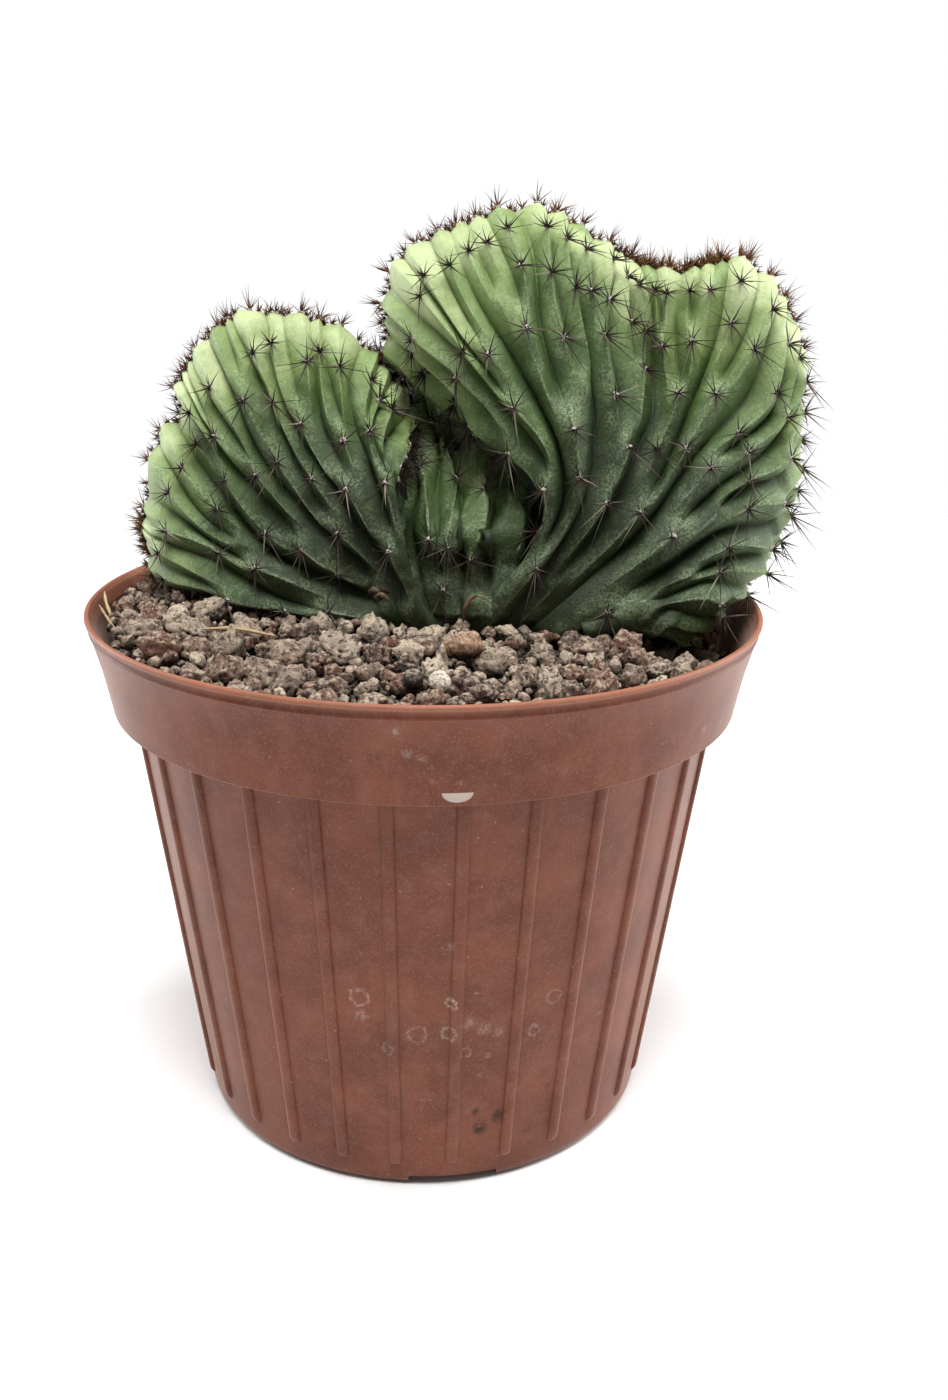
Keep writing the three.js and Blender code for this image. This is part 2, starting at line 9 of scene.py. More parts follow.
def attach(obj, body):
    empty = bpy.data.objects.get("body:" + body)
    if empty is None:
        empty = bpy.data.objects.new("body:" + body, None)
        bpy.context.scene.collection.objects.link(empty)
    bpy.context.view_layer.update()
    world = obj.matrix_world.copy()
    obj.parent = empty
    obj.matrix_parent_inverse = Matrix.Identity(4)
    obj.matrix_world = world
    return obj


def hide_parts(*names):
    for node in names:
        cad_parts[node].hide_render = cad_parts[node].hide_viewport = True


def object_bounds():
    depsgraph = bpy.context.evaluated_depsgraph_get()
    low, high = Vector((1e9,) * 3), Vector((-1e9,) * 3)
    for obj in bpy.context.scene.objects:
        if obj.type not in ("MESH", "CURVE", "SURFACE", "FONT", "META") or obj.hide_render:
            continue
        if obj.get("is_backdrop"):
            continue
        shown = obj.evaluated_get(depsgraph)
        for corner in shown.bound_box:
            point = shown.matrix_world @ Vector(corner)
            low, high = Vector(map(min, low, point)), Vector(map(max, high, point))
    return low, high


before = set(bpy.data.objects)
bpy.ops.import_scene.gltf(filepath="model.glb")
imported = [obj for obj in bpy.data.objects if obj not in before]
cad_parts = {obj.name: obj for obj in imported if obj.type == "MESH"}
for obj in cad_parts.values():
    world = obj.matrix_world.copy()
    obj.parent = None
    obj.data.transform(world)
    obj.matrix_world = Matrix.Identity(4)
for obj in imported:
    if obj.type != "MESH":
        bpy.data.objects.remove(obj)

cad_low, cad_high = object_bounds()

# The camera stands in front of the pot, a little over its rim, and looks down at it through a normal lens.
# Its place was fitted to the ellipses of the rim, the collar and the base.
LENS_LENGTH = 35.58
FILM_HEIGHT = 36.0
CAMERA_PLACE = Vector((0.0, -0.2432, 0.1598))
LOOK_DOWN = 0.3335
LOOK_RIGHT = 0.0368
CAMERA_ROLL = 0.0164
ahead = Vector((
    math.sin(LOOK_RIGHT) * math.cos(LOOK_DOWN),
    math.cos(LOOK_RIGHT) * math.cos(LOOK_DOWN),
    -math.sin(LOOK_DOWN),
))
level = Vector((math.cos(LOOK_RIGHT), -math.sin(LOOK_RIGHT), 0.0))
upright = level.cross(ahead)
camera_x = level * math.cos(CAMERA_ROLL) + upright * math.sin(CAMERA_ROLL)
camera_y = upright * math.cos(CAMERA_ROLL) - level * math.sin(CAMERA_ROLL)
camera_data = bpy.data.cameras.new("camera")
camera_data.sensor_fit = "VERTICAL"
camera_data.sensor_height = FILM_HEIGHT
camera_data.lens = LENS_LENGTH
camera_data.clip_start = 0.01
camera = bpy.data.objects.new("camera", camera_data)
camera.matrix_world = Matrix((
    (camera_x.x, camera_y.x, -ahead.x, CAMERA_PLACE.x),
    (camera_x.y, camera_y.y, -ahead.y, CAMERA_PLACE.y),
    (camera_x.z, camera_y.z, -ahead.z, CAMERA_PLACE.z),
    (0.0, 0.0, 0.0, 1.0),
))
bpy.context.scene.collection.objects.link(camera)
bpy.context.scene.camera = camera

# The studio: a pale round floor in a white room, with a soft box over the plant and one at each side.
# The side boxes stand a little behind the pot, so both edges of its wall shine and its middle stays darker.
MM = 0.001
FLOOR_RADIUS = 0.62
FLOOR_SIDES = 64
SKY_LIGHT = 0.22
SKY_SEEN = 1.0


def colour(red, green, blue):
    """A colour as a screen shows it, 0 to 255, made linear"""
    parts = [value / 255 for value in (red, green, blue)]
    linear = [p / 12.92 if p <= 0.04045 else ((p + 0.055) / 1.055) ** 2.4 for p in parts]
    return (*linear, 1.0)


class Wire:
    """A node's output. The signs on it lay Math nodes, or Vector Math nodes where it is a vector."""

    def __init__(self, socket):
        self.socket = socket
        self.tree = socket.id_data

    def is_vector(self):
        return self.socket.type in ("VECTOR", "RGBA")

    def also(self, key):
        """Another output of the same node"""
        return Wire(self.socket.node.outputs[key])

    def __add__(self, other):
        return reckon("ADD", self, other)

    def __sub__(self, other):
        return reckon("SUBTRACT", self, other)

    def __mul__(self, other):
        return reckon("SCALE" if self.is_vector() else "MULTIPLY", self, other)

    def __truediv__(self, other):
        return reckon("DIVIDE", self, other)

    def __rsub__(self, other):
        return reckon("SUBTRACT", other, self)

    def __rtruediv__(self, other):
        return reckon("DIVIDE", other, self)


def fill(node, inputs):
    """Fills a node's inputs, by name or number, with values or with wires from other nodes"""
    for key, value in inputs.items():
        if isinstance(value, Wire):
            node.id_data.links.new(value.socket, node.inputs[key])
        else:
            node.inputs[key].default_value = value


def lay(tree, kind, inputs=None, give=0, **settings):
    """Lays one node in a tree, fills its inputs and gives one of its outputs"""
    node = tree.nodes.new(kind)
    for name, value in settings.items():
        setattr(node, name, value)
    fill(node, inputs or {})
    return Wire(node.outputs[give])


def reckon(operation, first, second=None):
    """One Math node's result, or one Vector Math node's where what comes first is a vector"""
    wire = first if isinstance(first, Wire) else second
    inputs = {0: first}
    if second is not None:
        inputs[3 if operation == "SCALE" else 1] = second
    if wire.is_vector():
        give = 1 if operation in ("LENGTH", "DISTANCE", "DOT_PRODUCT") else 0
        return lay(wire.tree, "ShaderNodeVectorMath", inputs, give, operation=operation)
    return lay(wire.tree, "ShaderNodeMath", inputs, operation=operation)


def new_material(name):
    material = bpy.data.materials.new(name)
    material.use_nodes = True
    shader = material.node_tree.nodes["Principled BSDF"]
    return material, material.node_tree, shader


def mesh_of(name, points, faces, values=None):
    """A mesh from points in millimetres, without those that no face uses. Its points carry the values."""
    points = np.asarray(points, float).reshape(-1, 3)
    used = sorted({corner for face in faces for corner in face}) if len(faces) else range(len(points))
    used = np.array(used, int)
    number = np.full(len(points), -1)
    number[used] = np.arange(len(used))
    mesh = bpy.data.meshes.new(name)
    mesh.from_pydata((points[used] * MM).tolist(), [], [[int(number[c]) for c in face] for face in faces])
    for key, value in (values or {}).items():
        value = np.asarray(value)[used]
        kind = "FLOAT_VECTOR" if value.ndim == 2 else "FLOAT"
        attribute = mesh.attributes.new(key, kind, "POINT")
        attribute.data.foreach_set("vector" if value.ndim == 2 else "value", value.astype(np.float32).ravel())
    mesh.update()
    return mesh


def piece_of(mesh, material=None, smooth=True):
    piece = bpy.data.objects.new(mesh.name, mesh)
    bpy.context.scene.collection.objects.link(piece)
    if material:
        mesh.materials.clear()
        mesh.materials.append(material)
    if smooth:
        mesh.shade_smooth()
    return piece


def softbox(name, place, aim, width, height, power):
    light = bpy.data.lights.new(name, "AREA")
    light.shape = "RECTANGLE"
    light.size = width
    light.size_y = height
    light.energy = power
    lamp = bpy.data.objects.new(name, light)
    lamp.location = place
    lamp.rotation_euler = (Vector(aim) - Vector(place)).to_track_quat("-Z", "Y").to_euler()
    bpy.context.scene.collection.objects.link(lamp)


turns = [k * math.tau / FLOOR_SIDES for k in range(FLOOR_SIDES)]
floor_points = [(math.cos(t) * FLOOR_RADIUS / MM, math.sin(t) * FLOOR_RADIUS / MM, 0.0) for t in turns]
floor_material, _, floor_shader = new_material("pale_floor")
fill(floor_shader, {"Base Color": colour(242, 242, 242), "Roughness": 0.7})
floor_mesh = mesh_of("studio_floor", floor_points, [list(range(FLOOR_SIDES))])
floor = piece_of(floor_mesh, floor_material, smooth=False)
floor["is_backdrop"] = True

sky = bpy.data.worlds.new("sky")
sky.use_nodes = True
seen = lay(sky.node_tree, "ShaderNodeLightPath", give="Is Camera Ray")
strength = lay(sky.node_tree, "ShaderNodeMix", {0: seen, 2: SKY_LIGHT, 3: SKY_SEEN}, data_type="FLOAT")
fill(sky.node_tree.nodes["Background"], {"Color": (1.0, 1.0, 1.0, 1.0), "Strength": strength})
bpy.context.scene.world = sky
bpy.context.scene.view_settings.view_transform = "Standard"
# Each soft box: its place and its aim, its width and height in metres, and its power in watts
softbox("top_box", (0.0, -0.24, 0.8), (0.0, 0.0, 0.12), 0.42, 0.4, 10.4)
softbox("left_box", (-0.7, 0.34, 0.3), (0.0, 0.0, 0.08), 0.4, 0.7, 6.2)
softbox("right_box", (0.7, 0.2, 0.32), (0.0, 0.0, 0.08), 0.4, 0.7, 7.4)

# The pot: one moulding of brown plastic with a rolled lip, a collar that lets pots stack, and a tapered wall.
# The mould leaves 28 half-round beads on the wall, and four drain notches and four holes at its bottom.
# It is a turned profile with its openings cut out by Booleans, and the beads are one bead set in a ring.
POT_HEIGHT = 95.3
RIM_RADIUS = 60.0
COLLAR_HEIGHT = 17.1
COLLAR_FOOT_RADIUS = 56.2
WALL_TOP_RADIUS = 52.3
BASE_RADIUS = 41.9
CORNER_RADIUS = 2.5
WALL = 1.3
LIP_ROUNDING = 0.5
LIP_REACH = 0.6
COLLAR_EDGE_ROUNDING = 0.45
BEAD_COUNT = 28
BEAD_WIDTH = 2.2
BEAD_PROUD = 0.7
BEAD_FOOT = 5.0
NOTCH_COUNT = 4
NOTCH_WIDTH = 15.5
NOTCH_HEIGHT = 2.1
NOTCH_DEPTH = 9.0
NOTCH_TURN = math.radians(7)
DRAIN_HOLE_RADIUS = 3.0
DRAIN_HOLE_RING = 22.0
POT_SEGMENTS = 224
HOLE_SEGMENTS = 40
# How the wall bends out under the collar, as steps out from the wall and up from the collar's foot
COLLAR_UNDERSIDE = [(-0.1, -0.7), (0.15, -0.15), (0.8, 0.0)]
COLLAR_MIDDLE_OUT = 1.55
# A thin ridge and a shallow groove run round the collar under its lip, as steps out from it and up
UNDER_LIP = [(-0.1, -2.6), (0.12, -2.35), (-0.05, -2.0), (-0.05, -1.5)]
LIP_INSIDE = (0.15, 1.0)
INNER_TOP_DROP = 4.0
INNER_CORNER = 1.5
COLLAR_FOOT = POT_HEIGHT - COLLAR_HEIGHT
WALL_SLOPE = (WALL_TOP_RADIUS - BASE_RADIUS) / COLLAR_FOOT
COLLAR_TOP_RADIUS = RIM_RADIUS - LIP_REACH
COLLAR_SLOPE = (COLLAR_TOP_RADIUS - COLLAR_FOOT_RADIUS) / COLLAR_HEIGHT


def wall_radius(z):
    return BASE_RADIUS + WALL_SLOPE * z


def inner_radius(z):
    if z < COLLAR_FOOT + WALL:
        return wall_radius(z) - WALL
    return COLLAR_FOOT_RADIUS + COLLAR_SLOPE * (z - COLLAR_FOOT) - WALL


def bend(centre, radius, start, end, steps):
    """Points on an arc of a profile, with its angles in degrees from straight outwards"""
    angles = np.radians(np.linspace(start, end, steps))
    return [(centre[0] + radius * math.cos(a), centre[1] + radius * math.sin(a)) for a in angles]


def turned(profile, segments):
    """Points and faces of a shape turned about the Z axis. A profile point at radius 0 is a pole."""
    points, rings, faces = [], [], []
    for radius, height in profile:
        count = segments if radius > 0 else 1
        rings.append(list(range(len(points), len(points) + count)))
        for k in range(count):
            angle = k * math.tau / segments
            points.append((radius * math.cos(angle), radius * math.sin(angle), height))
    for low, high in zip(rings, rings[1:]):
        for k in range(segments):
            corners = [low[k % len(low)], low[(k + 1) % len(low)],
                       high[(k + 1) % len(high)], high[k % len(high)]]
            faces.append(list(dict.fromkeys(corners)))
    return points, faces


def evaluated_mesh(piece, name):
    """The plain mesh that a piece has once its modifiers are applied"""
    graph = bpy.context.evaluated_depsgraph_get()
    mesh = bpy.data.meshes.new_from_object(
        piece.evaluated_get(graph), preserve_all_data_layers=True, depsgraph=graph)
    mesh.name = name
    return mesh


def cut(piece, cutters):
    """Cuts shapes out of a piece with Booleans, applies them and throws the cutters away"""
    for cutter in cutters:
        modifier = piece.modifiers.new("cut", "BOOLEAN")
        modifier.operation = "DIFFERENCE"
        modifier.solver = "MANIFOLD"
        modifier.object = cutter
    made = evaluated_mesh(piece, piece.data.name)
    piece.modifiers.clear()
    piece.data = made
    for cutter in cutters:
        bpy.data.objects.remove(cutter)


lip_centre = (RIM_RADIUS - LIP_ROUNDING, POT_HEIGHT - LIP_ROUNDING)
pot_profile = [
    (0, 0),
    (BASE_RADIUS * 0.5, 0),
    *bend((wall_radius(CORNER_RADIUS) - CORNER_RADIUS, CORNER_RADIUS), CORNER_RADIUS, -90, -4, 8),
    (wall_radius(BEAD_FOOT), BEAD_FOOT),
    (wall_radius(COLLAR_FOOT * 0.5), COLLAR_FOOT * 0.5),
    *((WALL_TOP_RADIUS + out, COLLAR_FOOT + rise) for out, rise in COLLAR_UNDERSIDE),
    *bend((COLLAR_FOOT_RADIUS - COLLAR_EDGE_ROUNDING, COLLAR_FOOT + COLLAR_EDGE_ROUNDING),
          COLLAR_EDGE_ROUNDING, -90, 10, 5),
    (COLLAR_FOOT_RADIUS + COLLAR_MIDDLE_OUT, COLLAR_FOOT + COLLAR_HEIGHT * 0.5),
    *((COLLAR_TOP_RADIUS + out, POT_HEIGHT + rise) for out, rise in UNDER_LIP),
    *bend(lip_centre, LIP_ROUNDING, -50, 130, 10),
    (RIM_RADIUS - 2 * LIP_ROUNDING - LIP_INSIDE[0], POT_HEIGHT - LIP_INSIDE[1]),
    (inner_radius(POT_HEIGHT - INNER_TOP_DROP), POT_HEIGHT - INNER_TOP_DROP),
    (inner_radius(COLLAR_FOOT + WALL), COLLAR_FOOT + WALL),
    (wall_radius(COLLAR_FOOT) - WALL, COLLAR_FOOT + WALL),
    (wall_radius(WALL + INNER_CORNER) - WALL, WALL + INNER_CORNER),
    (wall_radius(WALL) - WALL - INNER_CORNER, WALL),
    (0, WALL),
]
pot_points, pot_faces = turned(pot_profile, POT_SEGMENTS)
shell = piece_of(mesh_of("pot_shell", pot_points, pot_faces))
cutters = []
for k in range(NOTCH_COUNT):
    turn = NOTCH_TURN + k * math.tau / NOTCH_COUNT
    half = (NOTCH_WIDTH / 2, NOTCH_DEPTH / 2, NOTCH_HEIGHT)
    corners = [(x * half[0], y * half[1] - BASE_RADIUS, z * half[2])
               for z in (-1, 1) for x, y in ((-1, -1), (1, -1), (1, 1), (-1, 1))]
    box_faces = [[3, 2, 1, 0], [4, 5, 6, 7], [0, 1, 5, 4], [1, 2, 6, 5], [2, 3, 7, 6], [3, 0, 4, 7]]
    box = mesh_of("notch", corners, box_faces)
    box.transform(Matrix.Rotation(turn, 4, "Z"))
    cutters.append(piece_of(box, smooth=False))
    hole_points, hole_faces = turned([(0, -WALL), (DRAIN_HOLE_RADIUS, -WALL),
                                      (DRAIN_HOLE_RADIUS, WALL * 3), (0, WALL * 3)], HOLE_SEGMENTS)
    hole = mesh_of("hole", hole_points, hole_faces)
    hole.transform(Matrix.Translation((0, -DRAIN_HOLE_RING * MM, 0)))
    hole.transform(Matrix.Rotation(turn + math.pi / NOTCH_COUNT, 4, "Z"))
    cutters.append(piece_of(hole, smooth=False))
cut(shell, cutters)


def new_tree(name, kind, inputs, output):
    """An empty node group, and a wire from each of its inputs, which are given as name, type and value"""
    tree = bpy.data.node_groups.new(name, kind)
    for label, socket_kind, value in inputs:
        socket = tree.interface.new_socket(label, in_out="INPUT", socket_type="NodeSocket" + socket_kind)
        if value is not None:
            socket.default_value = value
    tree.interface.new_socket(output, in_out="OUTPUT", socket_type=(
        "NodeSocketGeometry" if output == "Geometry" else "NodeSocketFloat"))
    given = tree.nodes.new("NodeGroupInput").outputs
    return tree, *(Wire(socket) for socket in given if socket.name)


def new_growth(name, inputs):
    """An empty Geometry Nodes tree, whose first input is the geometry and whose last one is the material"""
    return new_tree(name, "GeometryNodeTree", [
        ("Geometry", "Geometry", None), *inputs, ("Material", "Material", None)], "Geometry")


def ended(wire):
    """Leads a wire out of its node group and gives the finished group"""
    fill(wire.tree.nodes.new("NodeGroupOutput"), {0: wire})
    return wire.tree


def ended_copies(copies, material, smooth=None):
    """Ends a tree of copies: they are made real, smooth where that is asked, and given their material"""
    made = lay(copies.tree, "GeometryNodeRealizeInstances", {0: copies})
    if smooth is not None:
        made = lay(copies.tree, "GeometryNodeSetShadeSmooth", {0: made, "Shade Smooth": smooth})
    return ended(lay(copies.tree, "GeometryNodeSetMaterial", {0: made, "Material": material}))


def grown(mesh, tree, values):
    """Runs a Geometry Nodes tree on a mesh with these named inputs and gives the piece as a plain mesh"""
    piece = piece_of(mesh, smooth=False)
    modifier = piece.modifiers.new("growth", "NODES")
    modifier.node_group = tree
    for item in tree.interface.items_tree:
        if item.item_type == "SOCKET" and item.in_out == "INPUT" and item.name in values:
            modifier[item.identifier] = values[item.name]
    made = evaluated_mesh(piece, mesh.name)
    piece.modifiers.clear()
    piece.data = made
    bpy.data.meshes.remove(mesh)
    made.name = piece.name
    return piece


def repeat_tree():
    """A ring of copies: the mesh is set round the Z axis a number of times"""
    tree, bead, count, material = new_growth("bead ring", [("Count", "Int", 4)])
    spots = lay(tree, "GeometryNodePoints", {"Count": count})
    angle = (lay(tree, "GeometryNodeInputIndex") + 0.5) * (math.tau / count)
    turn = lay(tree, "ShaderNodeCombineXYZ", {2: angle})
    copies = lay(tree, "GeometryNodeInstanceOnPoints", {"Points": spots, "Instance": bead, "Rotation": turn})
    return ended_copies(copies, material, smooth=True)


def tube_faces(first, rings, count):
    """Faces of a tube of rings of points, capped at both ends, from the number of its first point"""
    faces = [[first + k for k in range(count)], [first + rings * count - 1 - k for k in range(count)]]
    for low in range(first, first + (rings - 1) * count, count):
        for k in range(count):
            after = (k + 1) % count
            faces.append([low + k, low + count + k, low + count + after, low + after])
    return faces


def bead_mesh():
    """One bead up the front of the wall: a flat-backed bar with rounded shoulders and a foot that runs out"""
    half = BEAD_WIDTH / 2
    section = [(-1.0, -0.5), (-1.0, 0.1), (-0.86, 0.62), (-0.6, 0.9), (-0.25, 1.0), (0.25, 1.0), (0.6, 0.9),
               (0.86, 0.62), (1.0, 0.1), (1.0, -0.5)]
    stations = [(BEAD_FOOT, 0.05), (BEAD_FOOT + 0.25, 0.55), (BEAD_FOOT + 0.8, 0.92), (BEAD_FOOT + 1.6, 1.0)]
    stations += [(z, 1.0) for z in np.linspace(BEAD_FOOT + 6, COLLAR_FOOT + WALL * 0.3, 10)]
    points = []
    for z, swell in stations:
        for x, out in section:
            proud = out * BEAD_PROUD * (swell if out > 0 else 1.0)
            points.append((x * half * (0.6 + 0.4 * swell), -wall_radius(z) - proud, z))
    return mesh_of("beads", points, tube_faces(0, len(stations), len(section)))


# The plastic is a dull red brown. Hard water has left a pale film and rings on it, and soil its stains.
POT_BROWN = colour(112, 65, 48)
POT_DEEP_BROWN = colour(98, 56, 41)
LIME_FILM = colour(196, 168, 154)
LIME_WHITE = colour(228, 218, 208)
SOIL_STAIN = colour(48, 30, 24)
# A lighter tan is painted on the top of the lip as a painted highlight
LIP_HIGHLIGHT_TAN = colour(186, 128, 102)
# Painted shade: the collar's inside face is coloured darker than the plastic, for the shade inside the pot
INSIDE_SHADE_BROWN = colour(66, 38, 30)
MARK_ARC_RADIUS = 50.0
# Pale marks, each as turn from the front in degrees, height, ring radius, line width and strength
PALE_MARKS = [
    (-13.0, 40.2, 1.6, 0.5, 0.5), (-12.8, 36.6, 0.0, 1.7, 0.6), (5.2, 39.6, 0.8, 0.5, 0.95),
    (4.9, 50.9, 0.0, 0.9, 0.45), (4.8, 33.5, 1.2, 0.5, 0.5), (-1.5, 33.2, 1.6, 0.5, 0.35),
    (9.2, 35.2, 0.0, 1.8, 0.4), (12.2, 33.9, 0.0, 2.0, 0.45), (15.4, 32.6, 0.0, 1.7, 0.4),
    (10.3, 41.2, 0.0, 0.7, 0.6), (27.4, 37.6, 1.4, 0.4, 0.35), (23.5, 31.5, 1.1, 0.4, 0.45),
    (41.7, 29.9, 0.0, 0.7, 0.5), (-7.5, 30.3, 1.0, 0.4, 0.35), (8.7, 29.2, 0.9, 0.4, 0.4),
    (13.3, 27.9, 0.0, 0.9, 0.4), (12.0, 24.0, 0.0, 0.9, 0.35), (-4.1, 91.0, 0.0, 0.9, 0.6),
    (-2.6, 87.2, 0.0, 1.1, 0.5), (-0.6, 86.6, 0.0, 1.0, 0.4), (1.0, 82.8, 0.0, 0.7, 0.4),
    (5.2, 82.2, 0.0, 0.7, 0.4), (52.0, 82.8, 0.0, 1.2, 0.3), (60.0, 81.8, 0.0, 1.3, 0.3),
]
# Dark marks in the same way
DARK_MARKS = [
    (16.9, 14.4, 0.0, 2.2, 0.85), (12.8, 12.4, 0.0, 2.3, 0.9), (11.6, 16.1, 0.0, 1.2, 0.75),
    (28.7, 18.3, 0.0, 0.9, 0.8), (-29.0, 14.1, 0.0, 0.8, 0.75), (-20.7, 7.1, 0.0, 1.8, 0.5),
    (-16.8, 9.2, 0.0, 1.3, 0.5), (24.7, 9.5, 0.0, 1.3, 0.35), (16.7, 41.6, 0.0, 0.35, 0.9),
    (24.7, 36.6, 0.0, 0.35, 0.9), (31.9, 37.9, 0.0, 0.35, 0.9), (-7.2, 86.6, 0.0, 1.6, 0.3),
]
CHIP_TURN = 4.8
CHIP_TOP = 80.6
CHIP_HALF_WIDTH = 2.45
CHIP_DEPTH = 1.75
# How much of each dirt's colour, and of the painted highlight on the lip, shows at its strongest
FILM_COVER = 0.05
DUST_COVER = 0.1
LIME_SPECK_COVER = 0.45
WATER_MARK_COVER = 0.32
LIP_HIGHLIGHT_SHARE = 0.3
CHIP_WHITENESS = 0.46


def mixed(factor, first, second):
    """One Mix node's colour"""
    return lay(factor.tree, "ShaderNodeMix", {0: factor, 6: first, 7: second}, 2, data_type="RGBA")


def eased(value, low, high, start=0.0, end=1.0):
    """A value brought from one range to another, softly at both ends"""
    return lay(value.tree, "ShaderNodeMapRange", {
        "Value": value, "From Min": low, "From Max": high, "To Min": start, "To Max": end,
    }, interpolation_type="SMOOTHSTEP")


def noise(place, scale, detail=3.0, roughness=0.55):
    return lay(place.tree, "ShaderNodeTexNoise", {
        "Vector": place, "Scale": scale, "Detail": detail, "Roughness": roughness})


def bumps(height, strength, distance):
    """A normal with small relief in it, whose depth is given in millimetres"""
    return lay(height.tree, "ShaderNodeBump", {
        "Height": height, "Strength": strength, "Distance": distance * MM})


def place_in_mm(tree):
    """The place on the object in millimetres"""
    return lay(tree, "ShaderNodeTexCoord", give="Object") * (1 / MM)


def ramp(factor, stops):
    """A colour ramp through (position, colour) stops"""
    shades = lay(factor.tree, "ShaderNodeValToRGB", {0: factor})
    elements = shades.socket.node.color_ramp.elements
    for k, (position, shade) in enumerate(stops):
        stop = elements[k] if k < 2 else elements.new(position)
        stop.position = position
        stop.color = shade
    return shades


def speckle_group():
    """Scattered specks of one size, used for dust, spots of lime, grains and pores"""
    _, place, size, cover, softness = new_tree("speckle", "ShaderNodeTree", [
        ("Place", "Vector", None), ("Size", "Float", 1.0), ("Cover", "Float", 0.3),
        ("Softness", "Float", 0.1)], "Mask")
    edge = 0.72 - cover * 0.44
    return ended(eased(noise(place, 1.0 / size, detail=4.0, roughness=0.65), edge, edge + softness))


def mark_group():
    """A ring or a spot on a surface: a ring with radius 0 is a spot"""
    _, place, centre, radius, width, strength = new_tree("water mark", "ShaderNodeTree", [
        ("Place", "Vector", None), ("Centre", "Vector", None), ("Radius", "Float", 1.0),
        ("Width", "Float", 0.5), ("Strength", "Float", 0.5)], "Mask")
    off_ring = reckon("ABSOLUTE", reckon("DISTANCE", place, centre) - radius)
    return ended(eased(off_ring / width, 0.15, 1.0, 1.0, 0.0) * strength)


speckle = speckle_group()
water_mark = mark_group()


def specks(place, size, cover, softness=0.1):
    """The speckle group laid in a material with its own values"""
    return lay(place.tree, "ShaderNodeGroup", {
        "Place": place, "Size": size, "Cover": cover, "Softness": softness}, node_tree=speckle)


def marks_mask(place, marks):
    """The strongest of several marks at each place"""
    total = 0.0
    for turn, height, radius, width, strength in marks:
        mark = lay(place.tree, "ShaderNodeGroup", {
            "Place": place, "Centre": (math.radians(turn) * MARK_ARC_RADIUS, height, 0.0), "Radius": radius,
            "Width": width, "Strength": strength}, node_tree=water_mark)
        total = reckon("MAXIMUM", mark, total)
    return total


def pot_plastic():
    material, tree, shader = new_material("pot_plastic")
    place = place_in_mm(tree)
    x, y, z = (lay(tree, "ShaderNodeSeparateXYZ", {0: place}, axis) for axis in "XYZ")
    arc = reckon("ARCTAN2", x, y * -1.0) * MARK_ARC_RADIUS
    radius = reckon("SQRT", x * x + y * y)
    wobble = lay(tree, "ShaderNodeTexNoise", {"Vector": place, "Scale": 0.9, "Detail": 3.0}, "Color")
    rough_wall = lay(tree, "ShaderNodeCombineXYZ", {0: arc, 1: z}) + (wobble - (0.5, 0.5, 0.5)) * 1.7

    clouds = eased(noise(place, 0.09, detail=4.0), 0.35, 0.65)
    base = mixed(clouds, POT_DEEP_BROWN, POT_BROWN)
    film = eased(noise(place, 0.33, detail=5.0, roughness=0.6), 0.42, 0.75) * FILM_COVER
    fine = specks(place, 0.4, 0.5, 0.2) * DUST_COVER
    base = mixed(fine, mixed(film, base, LIME_FILM), LIME_FILM)
    bright = specks(place, 0.8, 0.06, 0.04) * eased(noise(place, 0.11), 0.45, 0.6)
    base = mixed(bright * LIME_SPECK_COVER, base, LIME_WHITE)
    broken = eased(noise(place, 1.9, detail=5.0, roughness=0.7), 0.36, 0.62, 0.05, 1.0)
    base = mixed(marks_mask(rough_wall, PALE_MARKS) * broken * WATER_MARK_COVER, base, LIME_WHITE)
    dots = specks(place, 1.5, 0.015, 0.02) * 0.5
    dark = reckon("MAXIMUM", marks_mask(rough_wall, DARK_MARKS), dots)
    smeared = eased(noise(place, 0.9, detail=4.0), 0.36, 0.56, 0.1, 1.0)
    base = mixed(dark * smeared, base, SOIL_STAIN)

    # Painted shade: the inside of the collar takes the darker brown
    half_way = (z - COLLAR_FOOT) * COLLAR_SLOPE + (COLLAR_FOOT_RADIUS - 0.9)
    inside_shade = reckon("LESS_THAN", radius, half_way) * reckon("GREATER_THAN", z, COLLAR_FOOT + WALL)
    base = mixed(inside_shade, base, INSIDE_SHADE_BROWN)
    # Painted highlight: the top of the lip is painted a lighter tan
    lip = eased(z, POT_HEIGHT - 1.1, POT_HEIGHT - 0.8)
    base = mixed(lip * LIP_HIGHLIGHT_SHARE, base, LIP_HIGHLIGHT_TAN)

    aside = (arc - math.radians(CHIP_TURN) * MARK_ARC_RADIUS) / (CHIP_HALF_WIDTH * MARK_ARC_RADIUS
                                                                 / COLLAR_FOOT_RADIUS)
    below = (z - CHIP_TOP) / CHIP_DEPTH
    chip = eased(aside * aside + below * below, 0.8, 1.0, 1.0, 0.0) * reckon("LESS_THAN", z, CHIP_TOP)
    chip = chip * reckon("GREATER_THAN", radius, WALL_TOP_RADIUS + 0.5)
    fill(shader, {
        "Base Color": mixed(chip * CHIP_WHITENESS, base, LIME_WHITE),
        "Roughness": film * 0.9 + fine * 0.8 + 0.4, "Specular IOR Level": 0.12,
        "Sheen Weight": lip * -0.42 + 0.47, "Sheen Roughness": 0.25, "Sheen Tint": LIME_FILM,
        "Normal": bumps(noise(place, 2.4, detail=4.0) * 0.5 + fine * 1.2, 0.25, 0.08)})
    return material


plastic = pot_plastic()
beads = grown(bead_mesh(), repeat_tree(), {"Count": BEAD_COUNT, "Material": plastic})


def joined(name, pieces, material):
    """One piece from several, with one material"""
    points, faces = [], []
    for piece in pieces:
        first = len(points)
        points += [tuple(vertex.co / MM) for vertex in piece.data.vertices]
        faces += [[first + corner for corner in polygon.vertices] for polygon in piece.data.polygons]
        bpy.data.objects.remove(piece)
    return piece_of(mesh_of(name, points, faces), material)


pot = joined("pot_moulding", [shell, beads], plastic)
pot.data.set_sharp_from_angle(angle=math.radians(38))
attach(pot, "root")
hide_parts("pot")
